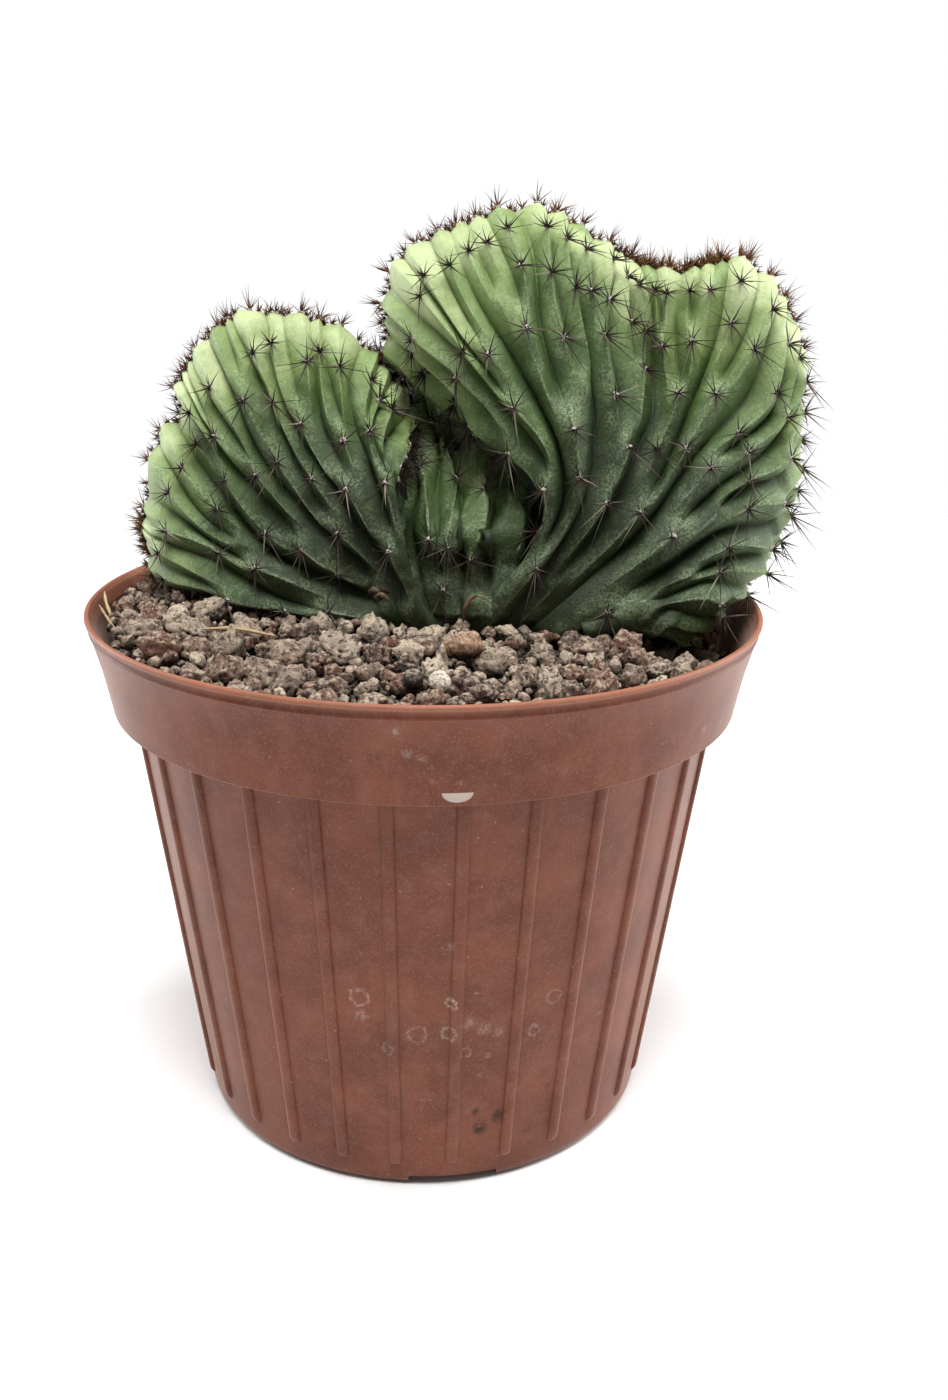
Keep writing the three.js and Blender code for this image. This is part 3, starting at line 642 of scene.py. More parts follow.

# The fill: volcanic grit poured into the pot up to its rim, heaped in the middle and at the left.
# It is sunk at the right, where the big lobe hangs into the pot. It is one turned body with a shaped top,
# and only its surface shows, between the loose stones that lie on it; it is coloured nearly black as painted
# shade in those gaps.
FIT_GAP = 0.35
GRIT_LEVEL = 90.5
HEAP_HEIGHT = 3.0
HEAP_CENTRE = (-12.0, 2.0)
HEAP_SPREAD = 26.5
BANK_HEIGHT = 2.5
BANK_X = (-28.0, -48.0)
HOLLOW_DEPTH = 7.0
HOLLOW_X = (32.0, 46.0)
HOLLOW_Y = (-28.0, -14.0)
BED_UNDER_STONES = 3.4
BED_EDGE_UNDER = 4.0
BED_SEGMENTS = 160
BED_RINGS = 56


def step_between(low, high, x):
    share = np.clip((np.asarray(x, float) - low) / (high - low), 0, 1)
    return share * share * (3 - 2 * share)


def grit_top(x, y):
    x, y = np.asarray(x, float), np.asarray(y, float)
    heap = HEAP_HEIGHT * np.exp(-((np.hypot(x - HEAP_CENTRE[0], y - HEAP_CENTRE[1]) / HEAP_SPREAD) ** 2))
    bank = BANK_HEIGHT * step_between(*BANK_X, x)
    hollow = HOLLOW_DEPTH * step_between(*HOLLOW_X, x) * step_between(*HOLLOW_Y, y)
    return GRIT_LEVEL + heap + bank - hollow


def ripple(x, y):
    """Small lumps in the bed's surface"""
    return 0.5 * np.sin(x * 1.7 + 2 * np.sin(y * 0.9)) * np.sin(y * 1.9 + 1.3 * np.sin(x * 1.1))


def bed_mesh():
    """The fill as a turned body, whose top is then shaped. It keeps a small gap from the pot."""
    floor = WALL + FIT_GAP
    step = COLLAR_FOOT + WALL + FIT_GAP
    edge = inner_radius(GRIT_LEVEL - BED_EDGE_UNDER) - FIT_GAP
    profile = [
        (0, floor), (wall_radius(floor) - WALL - FIT_GAP, floor),
        (WALL_TOP_RADIUS - WALL - FIT_GAP, COLLAR_FOOT), (WALL_TOP_RADIUS - WALL - FIT_GAP, step),
        (inner_radius(step) - FIT_GAP, step),
        *((edge * (1 - k / BED_RINGS), GRIT_LEVEL) for k in range(BED_RINGS)), (0, GRIT_LEVEL)]
    points, faces = turned(profile, BED_SEGMENTS)
    points = np.array(points)
    x, y, z = points.T
    points[:, 2] = np.where(z == GRIT_LEVEL, grit_top(x, y) - BED_UNDER_STONES + ripple(x, y), z)
    return mesh_of("grit_bed", points, faces)


# Lava is a grey or red-brown glass froth: matt, full of pores, and pale with dust on top.
LAVA_GREY = colour(146, 129, 114)
LAVA_BEIGE = colour(204, 186, 164)
LAVA_BROWN = colour(116, 91, 77)
LAVA_RED = colour(112, 74, 61)
LAVA_DARK = colour(52, 45, 42)
# The pores' colour, which also serves as painted shade in hollows and under the stones
LAVA_PORE_AND_SHADE = colour(24, 18, 16)
# Painted shade: the bed under the stones is coloured near black for the shade in the gaps between them
BED_SHADE_BROWN = colour(34, 26, 22)
DUST_ON_STONES = 0.6


def attribute(tree, name):
    """A number that the points of the mesh carry"""
    return lay(tree, "ShaderNodeAttribute", None, "Fac", attribute_name=name)


def lava(name, stops, pore_strength):
    """The look of the stones. Each stone's own tone picks its colour on the ramp."""
    material, tree, shader = new_material(name)
    place = place_in_mm(tree)
    base = ramp(attribute(tree, "tone") + (noise(place, 0.5, detail=4.0) - 0.5) * 0.14, stops)
    grain = noise(place, 2.2, detail=5.0, roughness=0.7)
    relief = attribute(tree, "relief")
    # Painted highlight: the raised parts of a stone's relief are painted lighter beige
    base = mixed(eased(relief, 0.02, 0.16, 0.0, 0.45), base, LAVA_BEIGE)
    base = mixed(eased(grain, 0.3, 0.6, 0.5, 0.0), base, LAVA_PORE_AND_SHADE)
    # Painted shade: the hollows of the relief are painted the pore colour
    base = mixed(eased(relief, -0.2, -0.03, 0.9, 0.0), base, LAVA_PORE_AND_SHADE)
    # Painted shade: each stone is painted darker towards its underside, below its shade level
    above = lay(tree, "ShaderNodeSeparateXYZ", {0: place}, "Z") - attribute(tree, "shade_level")
    base = mixed(eased(above, -1.1, 1.2, 0.94, 0.0), base, LAVA_PORE_AND_SHADE)
    facing = lay(tree, "ShaderNodeNewGeometry", give="Normal")
    upward = eased(lay(tree, "ShaderNodeSeparateXYZ", {0: facing}, "Z"), 0.1, 0.95)
    base = mixed(upward * specks(place, 1.1, 0.75, 0.25) * DUST_ON_STONES, base, LAVA_BEIGE)
    pores = specks(place, 0.9, 0.36, 0.08)
    fill(shader, {
        "Base Color": mixed(pores * pore_strength, base, LAVA_PORE_AND_SHADE), "Roughness": 0.93,
        "Specular IOR Level": 0.2, "Normal": bumps(grain * 0.8 - pores * 0.9, 1.0, 0.6)})
    return material


bed = piece_of(bed_mesh(), lava("lava_bed_shade", [(0.0, LAVA_PORE_AND_SHADE), (1.0, BED_SHADE_BROWN)], 0.6))
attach(bed, "root")
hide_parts("grit")

# The plant: a crested cactus, whose growing points have joined into lines, so its flesh spreads in fans.
# Each of its three fans is a thick leaf of flesh with ribs that fork on their way up to the crest. A fan is
# a smooth surface through rows of guide points from foot to crest, on which the ribs are raised.
RIB_WIDTH_AT_FOOT = 9.6
RIB_WIDTH_AT_CREST = 4.8
RIDGE_TO_WIDTH = 0.38
GROOVE_SHARPNESS = 4.0
RIDGE_SUNK = 1.6
GROOVE_TO_WIDTH = 0.55
CREST_FLATNESS = 0.5
WIDEST_AT_CREST = 5.4
RIDGE_OFFSET = 0.5
CREST_ROUNDING = 7.0
FORK_RUN = 0.09
FORK_STEP = 0.01
LAST_FORK = 0.93
FORK_OFFSET = 0.1
FORK_SPREAD = 0.26
COLUMN_SHARES = np.array([0.0, 0.07, 0.4, 0.72, 0.91])
END_STEPS = 7
ROW_CROWDING = 1.8
# Each fan: how many rows of points it has, how wide its ribs get before they fork, how straight a rib's sides
# slope, how much calmer the ribs are at the first and last end, how soon its colour pales from foot to crest
# (partly with age, partly as painted light that lightens the centre and right fans), the phase of its sway,
# its folds as place, half width and depth, and where its ribs rise out of the smooth foot.
# The gap line holds places, as across and up, of spines crowded where fans meet, whose dark mass is partly
# painted shade. The guides run from foot to crest.
LEFT_FAN = {
    "name": "left", "rows": 92, "rib_size": 0.95, "slope": 0.72, "calm": (0.35, 0.0), "age_and_light": 1.0,
    "wave": 0.3, "folds": [(0.27, 0.022, 2.8)], "smooth_foot": (0.02, 0.26),
    "gap_line": [(0.965, 0.66), (0.96, 0.72), (0.965, 0.78), (0.96, 0.84), (0.965, 0.9), (0.96, 0.95)],
    "thickness": [10, 12, 12.5, 11, 9],
    "end_rounding": 14,
    "guides": [
        [[-2, 3, 90], [-2, 3, 91], [-1, 2, 91], [0, 2, 91], [0, 1, 91], [1, 1, 90], [2, 0, 90], [3, -1, 88]],
        [[-14, 3, 91], [-13, 4, 94], [-11, 4, 98], [-9, 3, 101], [-7, 1, 103], [-5, 0, 104], [-3, -1, 103],
         [-1, -2, 102]],
        [[-27, 5, 92], [-26, 6, 97], [-22, 6, 104], [-19, 4, 111], [-14, 2, 115], [-9, 0, 116], [-6, -1, 116],
         [-3, -3, 113]],
        [[-39, 6, 94], [-39, 7, 102], [-34, 7, 114], [-28, 5, 124], [-21, 3, 127], [-13, 1, 128],
         [-8, 0, 126], [-3, -1, 119]],
        [[-49, 6, 95], [-52, 8, 107], [-46, 8, 129], [-37, 5, 142], [-25, 3, 145], [-13, 4, 141],
         [-5, 7, 133], [1, 8, 124]],
    ],
}
CENTRE_FAN = {
    "name": "centre", "rows": 70, "rib_size": 1.0, "slope": 0.35, "calm": (0.0, 0.0), "age_and_light": 0.5,
    "wave": 0.55, "folds": [], "smooth_foot": (0.12, 0.3),
    "gap_line": [(0.06, 0.83), (0.14, 0.8), (0.22, 0.81), (0.3, 0.79), (0.38, 0.81), (0.46, 0.79),
                 (0.54, 0.81), (0.62, 0.79), (0.7, 0.81), (0.78, 0.8), (0.86, 0.82), (0.94, 0.84)],
    "thickness": [12, 11.5, 12, 9, 6],
    "end_rounding": 6,
    "guides": [
        [[-4, 4, 94], [6, 3, 94], [16, 4, 94]], [[-8, 5, 102], [5, 3, 102], [18, 5, 102]],
        [[-10, 5, 110], [5, 2, 110], [20, 5, 110]], [[-12, 9, 120], [5, 7, 120], [20, 9, 120]],
        [[-11, 15, 136], [1, 15, 132], [18, 14, 125]],
    ],
}
RIGHT_FAN = {
    "name": "right", "rows": 92, "rib_size": 1.0, "slope": 0.72, "calm": (0.0, 0.55), "age_and_light": 0.62,
    "wave": 0.0, "folds": [(0.44, 0.02, 1.5)], "smooth_foot": (0.02, 0.26),
    "gap_line": [(0.02, 0.66), (0.02, 0.74), (0.02, 0.82), (0.02, 0.9)],
    "thickness": [10, 12.5, 13, 12, 9.5],
    "end_rounding": 12,
    "guides": [
        [[5, 2, 90], [8, 2, 91], [11, 3, 92], [14, 3, 92], [16, 3, 92], [18, 3, 92], [20, 3, 91], [22, 3, 91],
         [26, 3, 91], [28, 1, 92], [28, 0, 90]],
        [[17, 1, 106], [20, 0, 109], [24, 0, 111], [28, 1, 112], [31, 2, 112], [35, 2, 110], [38, 2, 107],
         [40, 2, 103], [41, 2, 100], [39, 1, 96], [34, 0, 91]],
        [[18, 0, 115], [20, -1, 122], [25, -1, 126], [32, 2, 128], [38, 5, 128], [44, 4, 125], [50, 3, 120],
         [53, 3, 113], [52, 3, 105], [47, 1, 97], [40, -1, 89]],
        [[8, 2, 123], [9, 0, 137], [19, 0, 147], [30, 4, 145], [38, 8, 140], [51, 6, 138], [61, 6, 128],
         [63, 6, 115], [60, 5, 104], [53, 1, 95], [44, -1, 87]],
        [[-8, 5, 136], [-5, 4, 154], [16, 2, 162.4], [30, 3, 157.4], [37, 5, 154], [55, 3, 154],
         [66.6, 8, 140], [67.2, 10, 120], [64, 6, 105], [55, 1, 95], [45, -1, 84]],
    ],
}
FANS = [LEFT_FAN, CENTRE_FAN, RIGHT_FAN]


def along(stack, t):
    """A smooth curve through the rows of a stack, at t from 0 to 1. The stack is rows by places by parts."""
    last = len(stack) - 1
    reach = np.clip(t, 0, 1) * last
    i = np.minimum(np.floor(reach).astype(int), last - 1)
    f = (reach - i)[..., None]

    def row(k):
        return np.take_along_axis(stack, np.clip(k, 0, last)[None, ..., None], axis=0)[0]

    b, c = row(i), row(i + 1)
    a = np.where((i > 0)[..., None], row(i - 1), 2 * b - c)
    d = np.where((i < last - 1)[..., None], row(i + 2), 2 * c - b)
    return b + 0.5 * f * (c - a + f * (2 * a - 5 * b + 4 * c - d + f * (3 * (b - c) + d - a)))


def spread(rows, places):
    """Rows of numbers made into a stack that goes with an array of places"""
    rows = np.array(rows, float)
    return rows.reshape((rows.shape[0],) + (1,) * places.ndim + (rows.shape[1],))


def middle(fan, across, up):
    """The middle of a fan's flesh: across runs along the crest, and up along a rib from its foot"""
    across, up = np.broadcast_arrays(np.asarray(across, float), np.asarray(up, float))
    lines = np.stack([along(spread(guide, across), across) for guide in fan["guides"]])
    return along(lines, up)


def rib_length(fan, across):
    stations = np.linspace(0, 1, 9)
    points = middle(fan, np.asarray(across, float)[..., None], stations)
    return np.linalg.norm(np.diff(points, axis=-2), axis=-1).sum(-1)


def half_thickness(fan, across, up):
    """Half the flesh's thickness, which rounds off at the crest and at both ends of the fan"""
    full = along(spread([[value] for value in fan["thickness"]], up), up)[..., 0]
    crest = np.sqrt(np.maximum(0, 1 - up ** (rib_length(fan, across) / CREST_ROUNDING)))
    ends = np.sqrt(np.maximum(0, 1 - np.abs(2 * across - 1) ** fan["end_rounding"]))
    return full * crest * ends


def steady(x):
    """A steady number between -1 and 1 for a place on a fan"""
    wave = math.sin(x * 91.7 + 2.3) * 437.5
    return 2 * (wave - math.floor(wave)) - 1


def grow_rib(fan, low, high, start):
    """A rib forks where it has grown too wide, so ribs are few at the foot and many at the crest"""
    rib = {"low": low, "high": high, "start": start, "fork": None,
           "ridge": RIDGE_OFFSET * steady(low * 7 + high)}
    ups = start + FORK_STEP * np.arange(int((LAST_FORK - start) / FORK_STEP) + 1)
    widths = np.linalg.norm(middle(fan, low, ups) - middle(fan, high, ups), axis=-1)
    limits = (RIB_WIDTH_AT_FOOT + (RIB_WIDTH_AT_CREST - RIB_WIDTH_AT_FOOT) * ups) * fan["rib_size"]
    over = widths > limits * (1 + FORK_SPREAD * steady(low * 3 + high))
    if not over.any():
        return rib
    up = float(ups[over.argmax()])
    share = 0.5 + FORK_OFFSET * steady(low + high)
    fork = low + (high - low) * share
    after = up + (FORK_RUN * 0.5 if up > 0 else 0)
    rib["ridge"] = 2 * share - 1
    rib["fork"] = {"up": up, "across": fork, "low": grow_rib(fan, low, fork, after),
                   "high": grow_rib(fan, fork, high, after)}
    return rib


def all_ribs(rib):
    if not rib["fork"]:
        return [rib]
    return [rib, *all_ribs(rib["fork"]["low"]), *all_ribs(rib["fork"]["high"])]


def last_ribs(rib):
    return [one for one in all_ribs(rib) if not one["fork"]]


def ridge_across(rib):
    return rib["low"] + (rib["high"] - rib["low"]) * (1 + rib["ridge"]) / 2


def rib_form(fan, rib, across, up):
    """The form of a rib's back, 0 in its grooves and 1 on its ridge, and its width, over columns and rows"""
    place = 2 * (across - rib["low"]) / (rib["high"] - rib["low"]) - 1
    ridge = rib["ridge"]
    off = np.where(place < ridge, (ridge - place) / (1 + ridge), (place - ridge) / (1 - ridge))
    off = np.clip(off, 0, 1)
    form = 1 - fan["slope"] * off - (1 - fan["slope"]) * off ** GROOVE_SHARPNESS
    width = np.linalg.norm(middle(fan, rib["low"], up) - middle(fan, rib["high"], up), axis=-1)
    form, width = np.broadcast_arrays(form, width)
    fork = rib["fork"]
    if not fork:
        return form, width
    grown_in = step_between(fork["up"], fork["up"] + FORK_RUN, up) if fork["up"] > 0 else np.ones_like(up)
    branch_form, branch_width = np.zeros_like(form), np.zeros_like(width)
    at_low = (across < fork["across"])[:, 0]
    for side, chosen in (("low", at_low), ("high", ~at_low)):
        branch_form[chosen], branch_width[chosen] = rib_form(fan, fork[side], across[chosen], up)
    return form + (branch_form - form) * grown_in, width + (branch_width - width) * grown_in


def columns_of(fan):
    """Places along the crest: several to a rib, and more where the fan's ends round off"""
    columns = [0.0]
    for rib in last_ribs(fan["ribs"]):
        ridge = ridge_across(rib)
        columns += list(ridge - COLUMN_SHARES[::-1] * (ridge - rib["low"]))
        columns += list(ridge + COLUMN_SHARES[1:] * (rib["high"] - ridge))
        columns.append(rib["high"])
    first = columns[len(COLUMN_SHARES)]
    ends = [first * (k / END_STEPS) ** 2 for k in range(1, 5)]
    columns = np.unique(np.array(columns + ends + [1 - value for value in ends]))
    return columns[np.concatenate([[True], np.diff(columns) > 1e-5])]


AREOLE_UNDER_FORK = 0.5
AREOLE_UNDER_CREST = 5.0
AREOLE_OVER_START = 3.5
LOWEST_AREOLE = 0.1
STEP_UNDER_FORK = 10.5
STEP_UNDER_CREST = 8.0
STEP_LOWER_DOWN = 11.5
STEP_SCATTER = 1.8


def areoles_of(fan, side):
    """Where the spine cushions sit on one side: just under each fork, and every so often down each ridge"""
    found = []
    for rib in all_ribs(fan["ribs"]):
        across = ridge_across(rib)
        length = float(rib_length(fan, np.array(across)))
        if rib["fork"]:
            up = rib["fork"]["up"] - AREOLE_UNDER_FORK / length
            step = STEP_UNDER_FORK
        else:
            up = 1 - (AREOLE_UNDER_CREST + 1.3 * steady(across * 5 + side)) / length
            step = STEP_UNDER_CREST
        while up > rib["start"] + AREOLE_OVER_START / length and up > LOWEST_AREOLE:
            found.append({"across": across, "up": up, "rib": rib, "length": length, "side": side})
            up -= (step + STEP_SCATTER * steady(up * 13 + across * 3 + side)) / length
            step = STEP_LOWER_DOWN
    return found


for fan in FANS:
    fan["ribs"] = grow_rib(fan, 0.0, 1.0, 0.0)

# The ribs sway by two waves, each with its turns up the fan and across it. The ends of a fan are pinned.
WIGGLE = 0.9
SLOW_WAVE = (8.2, 37)
QUICK_WAVE = (15.1, 61)
QUICK_SHARE = 0.6
WAVE_PHASE = 9
END_PIN = 16
END_COLUMNS = 8
# Heights on a fan, as shares of its rise, and parts of its crest, between which something sets in
SWAY_SETS_IN = (0.1, 0.4)
NEAR_CREST = (0.6, 0.95)
FOLD_SETS_IN = (0.6, 0.97)
FIRST_END = (0.06, 0.26)
LAST_END = (0.74, 0.92)
FOOT_DEPTH = 0.12
CREST_STARTS = 0.88
CALM_SHADE = 0.4
# By each areole: its lump, the notch over it and its powder, as shift up the rib, length and share of width
LUMP = (-1.2, 2.2, 0.5)
NOTCH = (1.6, 1.3, 0.6)
BLOOM = (2.6, 2.6, 0.55)
LUMP_LIFT = 0.3
NOTCH_LIFT = -0.35
AREOLE_REACH = 9
ROWS_UPWARD = 3
# Tufts on each rib's crest: share of the rib's width, rows from the crest line, size
TUFTS_OF_RIB = [(0.5, 0, 1.0), (0.22, -2, 0.6), (0.8, 1, 0.55), (0.0, 0, 0.6)]


def unit(vectors_in):
    return vectors_in / np.maximum(np.linalg.norm(vectors_in, axis=-1, keepdims=True), 1e-9)


def soft_spot(reach, off, shift, length, width):
    return np.exp(-((reach - shift) / length) ** 2 - (off / width) ** 2)


def fan_mesh(fan):
    """The skin of one fan, from its front foot over the crest to its back foot, with its ribs raised on it"""
    columns = columns_of(fan)
    rise = 1 - (1 - np.linspace(0, 1, fan["rows"])) ** ROW_CROWDING
    crest_row = len(rise) - 1
    up = np.concatenate([rise, rise[-2::-1]])[None, :]
    side = np.concatenate([-np.ones(crest_row), [0.0], np.ones(crest_row)])[None, :]
    across = columns[:, None]
    span = float(np.linalg.norm(np.diff(middle(fan, columns, 1.0), axis=0), axis=-1).sum())
    pin = np.clip(across * (1 - across) * END_PIN, 0, 1)
    sway = np.sin(up * SLOW_WAVE[0] + across * SLOW_WAVE[1] + fan["wave"] * WAVE_PHASE)
    sway = sway + QUICK_SHARE * np.sin(up * QUICK_WAVE[0] - across * QUICK_WAVE[1])
    placed = np.clip(across + pin * sway * WIGGLE / span * step_between(*SWAY_SETS_IN, up), 0, 1)
    skin = middle(fan, placed, np.broadcast_to(up, placed.shape))
    both = np.broadcast_arrays(across, up)
    skin[..., 1] += side * half_thickness(fan, both[0], both[1])

    over_columns = np.empty_like(skin)
    over_columns[1:-1] = skin[2:] - skin[:-2]
    over_columns[0] = over_columns[-1] = 1.0
    over_rows = np.gradient(skin, axis=1)
    out = unit(np.cross(over_columns, over_rows))
    inward = min(END_COLUMNS, len(columns) // 4)
    out[0] = unit(skin[0] - skin[inward])
    out[-1] = unit(skin[-1] - skin[-1 - inward])

    form, width = rib_form(fan, fan["ribs"], across, up)
    near_crest = step_between(*NEAR_CREST, up)
    width = width * (1 - near_crest) + np.minimum(width, WIDEST_AT_CREST) * near_crest
    depth = GROOVE_TO_WIDTH * width * (1 - CREST_FLATNESS * step_between(CREST_STARTS, 1.0, up))
    depth = depth * (FOOT_DEPTH + (1 - FOOT_DEPTH) * step_between(*fan["smooth_foot"], up))
    first_end = 1 - step_between(*FIRST_END, across)
    calm = fan["calm"][0] * first_end + fan["calm"][1] * step_between(*LAST_END, across)
    depth = depth * (1 - calm)
    lift = RIDGE_TO_WIDTH * width - RIDGE_SUNK - depth * (1 - form)
    bloom = np.zeros_like(lift)
    fan["areoles"] = [spot for one in (-1, 1) for spot in areoles_of(fan, one)]
    for spot in fan["areoles"]:
        rib = spot["rib"]
        near = (columns > rib["low"]) & (columns < rib["high"])
        rows = np.arange(crest_row + 1) if spot["side"] < 0 else np.arange(crest_row, 2 * crest_row + 1)
        rows = rows[np.abs(up[0, rows] - spot["up"]) * spot["length"] < AREOLE_REACH]
        if not near.any() or not len(rows):
            continue
        window = np.ix_(near, rows)
        reach = (up[0, rows] - spot["up"])[None, :] * spot["length"]
        off = np.abs(columns[near] - spot["across"])[:, None] / (rib["high"] - rib["low"]) * 2
        lift[window] += LUMP_LIFT * soft_spot(reach, off, *LUMP) + NOTCH_LIFT * soft_spot(reach, off, *NOTCH)
        bloom[window] = np.maximum(bloom[window], soft_spot(reach, off, *BLOOM))
    for place, half_width, fold_depth in fan["folds"]:
        fold = soft_spot(across, 0, place, half_width, 1)
        lift = lift - fold_depth * fold * step_between(*FOLD_SETS_IN, up)
    points = skin + out * lift[..., None]

    count = points.shape[0] * points.shape[1]
    number = np.arange(count).reshape(points.shape[:2])
    for end in (0, -1):
        number[end, crest_row + 1:] = number[end, crest_row - 1::-1]
    quads = np.stack([number[:-1, :-1], number[1:, :-1], number[1:, 1:], number[:-1, 1:]], -1).reshape(-1, 4)
    foot = np.stack([number[:-1, 0], number[:-1, -1], number[1:, -1], number[1:, 0]], -1)
    faces = [list(dict.fromkeys(face)) for face in np.concatenate([quads, foot]).tolist()]
    faces = [face for face in faces if len(face) > 2]
    for spot in fan["areoles"]:
        column = int(np.abs(columns - spot["across"]).argmin())
        row = int(np.abs(rise - spot["up"]).argmin())
        row = row if spot["side"] < 0 else 2 * crest_row - row
        spot["root"] = points[column, row]
        spot["out"] = out[column, row]
        above = row + (ROWS_UPWARD if spot["side"] < 0 else -ROWS_UPWARD)
        spot["upward"] = unit(points[column, above] - points[column, row])
    fan["tufts"] = []

    def add_tuft(place, row, size, up_there, upward):
        column = int(np.abs(columns - place).argmin())
        fan["tufts"].append({"root": points[column, row], "out": out[column, row], "size": size,
                             "up": up_there, "upward": np.array(upward), "across": place})

    for rib in last_ribs(fan["ribs"]):
        for share, step, size in TUFTS_OF_RIB:
            place = rib["low"] + (rib["high"] - rib["low"]) * share
            add_tuft(place, crest_row + step, size, 1.0, [0.0, -1.0, 0.0])
    for place, rise_there in fan["gap_line"]:
        add_tuft(place, int(np.abs(rise - rise_there).argmin()), 1.0, 0.0, [0.0, 0.0, 1.0])
    tone = np.zeros(len(columns))
    for rib in last_ribs(fan["ribs"]):
        tone[(columns >= rib["low"]) & (columns <= rib["high"])] = steady(rib["low"] * 11) * 0.5 + 0.5
    values = {
        "form": (1 - (1 - form) * (1 - CALM_SHADE * calm)).ravel(), "bloom": bloom.ravel(),
        "rise": np.broadcast_to(up ** fan["age_and_light"], form.shape).ravel(),
        "tone": np.broadcast_to(tone[:, None], form.shape).ravel(),
    }
    return mesh_of("fan_" + fan["name"], points.reshape(-1, 3), faces, values)


def inside_out(mesh):
    """Whether a closed mesh's faces point inwards"""
    mesh.calc_loop_triangles()
    corners = np.empty(len(mesh.loop_triangles) * 3, np.int32)
    mesh.loop_triangles.foreach_get("vertices", corners)
    points = np.empty(len(mesh.vertices) * 3, np.float32)
    mesh.vertices.foreach_get("co", points)
    a, b, c = points.reshape(-1, 3)[corners.reshape(-1, 3)].transpose(1, 0, 2)
    return float((a * np.cross(b, c)).sum()) < 0


# The skin is waxy: blue green and dark low down, yellow green at the crest, with a grey powder on it. The
# dark low down is partly painted shade; its grooves carry painted shade and its ridge tops a painted
# highlight.
SKIN_FOOT = colour(52, 64, 38)
SKIN_LOW = colour(38, 54, 24)
SKIN_MIDDLE = colour(70, 94, 40)
SKIN_TOP = colour(122, 143, 80)
SKIN_CREST = colour(180, 192, 140)
SKIN_GROOVE_SHADE = colour(18, 24, 14)
SKIN_DIRT = colour(34, 40, 28)
BLOOM_AND_HIGHLIGHT_GREY = colour(166, 186, 142)
CORK_BROWN = colour(104, 84, 58)


def plant_skin():
    material, tree, shader = new_material("plant_skin")
    place = place_in_mm(tree)
    height_on_fan, form = attribute(tree, "rise"), attribute(tree, "form")
    rise = height_on_fan + (noise(place, 0.13, detail=4.0) - 0.5) * 0.3
    rise = rise + (attribute(tree, "tone") - 0.5) * 0.12
    # The ramp is darker low down, partly the plant's own colour and partly painted shade
    base = ramp(rise, [
        (0.2, SKIN_FOOT), (1.0, SKIN_CREST), (0.55, SKIN_LOW), (0.78, SKIN_MIDDLE), (0.92, SKIN_TOP)])
    mottle = noise(place, 1.5, detail=6.0, roughness=0.75)
    young = eased(height_on_fan, 0.72, 0.98, 1.0, 0.3)
    dirty = eased(noise(place, 0.2, detail=4.0), 0.35, 0.65, 0.3, 0.65) * young
    base = mixed(eased(mottle, 0.36, 0.6, 1.0, 0.0) * dirty, base, SKIN_DIRT)
    uneven = eased(noise(place, 0.35, detail=3.0), 0.3, 0.65, 0.45, 1.0)
    # Painted shade: the grooves between the ribs are painted darker, less so low down and towards the crest
    groove_shade = eased(form, 0.0, 0.32, 0.8, 0.0) * uneven * eased(height_on_fan, 0.3, 0.7, 0.45, 1.0)
    base = mixed(groove_shade * young, base, SKIN_GROOVE_SHADE)
    cloud = eased(noise(place, 0.24, detail=6.0, roughness=0.7), 0.4, 0.62)
    powder_and_highlight = eased(form, 0.3, 0.8) * (cloud * 0.42)
    powder_and_highlight = reckon("MAXIMUM", powder_and_highlight, attribute(tree, "bloom") * 0.6)
    # Painted highlight: a pale line along each ridge top, mixed in with the powder
    powder_and_highlight = reckon("MAXIMUM", powder_and_highlight, eased(form, 0.88, 1.0, 0.0, 0.6))
    grains = eased(noise(place, 2.3, detail=6.0, roughness=0.78), 0.42, 0.6, 0.06, 1.0)
    powder_and_highlight = powder_and_highlight * grains
    base = mixed(powder_and_highlight, base, BLOOM_AND_HIGHLIGHT_GREY)
    base = mixed(specks(place, 0.8, 0.16, 0.06) * 0.3, base, SKIN_CREST)
    cork = specks(place, 5.0, 0.1, 0.05) * eased(height_on_fan, 0.25, 0.6, 0.6, 0.0)
    fill(shader, {
        "Base Color": mixed(cork, base, CORK_BROWN), "Roughness": powder_and_highlight * 0.4 + 0.38,
        "Subsurface Weight": 0.05, "Subsurface Radius": (0.5, 1.0, 0.25), "Subsurface Scale": 0.0012,
        "Specular IOR Level": 0.45, "Normal": bumps(mottle * 1.6 + grains * 0.25, 0.6, 0.22)})
    return material


skin = plant_skin()
for fan in FANS:
    mesh = fan_mesh(fan)
    if inside_out(mesh):
        mesh.flip_normals()
    fan["piece"] = piece_of(mesh, skin)
    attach(fan["piece"], "root")
    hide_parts("cactus")

# The stump: the short old stem that the fans grow from, oval, dark and almost without ribs. It is turned and
# then folded and stretched. It stands in the grit, and its roots, which aren't seen, hold the plant.
STUMP_CENTRE = (6.0, 3.0)
STUMP_STRETCH = 1.5
STUMP_PROFILE = [
    [0, 72], [6, 72.5], [9, 79], [11.2, 85], [12, 90], [11.8, 95], [10, 99.5], [6, 102.4], [0, 103]]
STUMP_ROWS = 48
STUMP_SEGMENTS = 144
STUMP_FOLDS = 11
STUMP_FOLD_DEPTH = 0.07
STUMP_FOLD_WIDTH = 1.5
STUMP_TWIST = (0.16, 1.4)


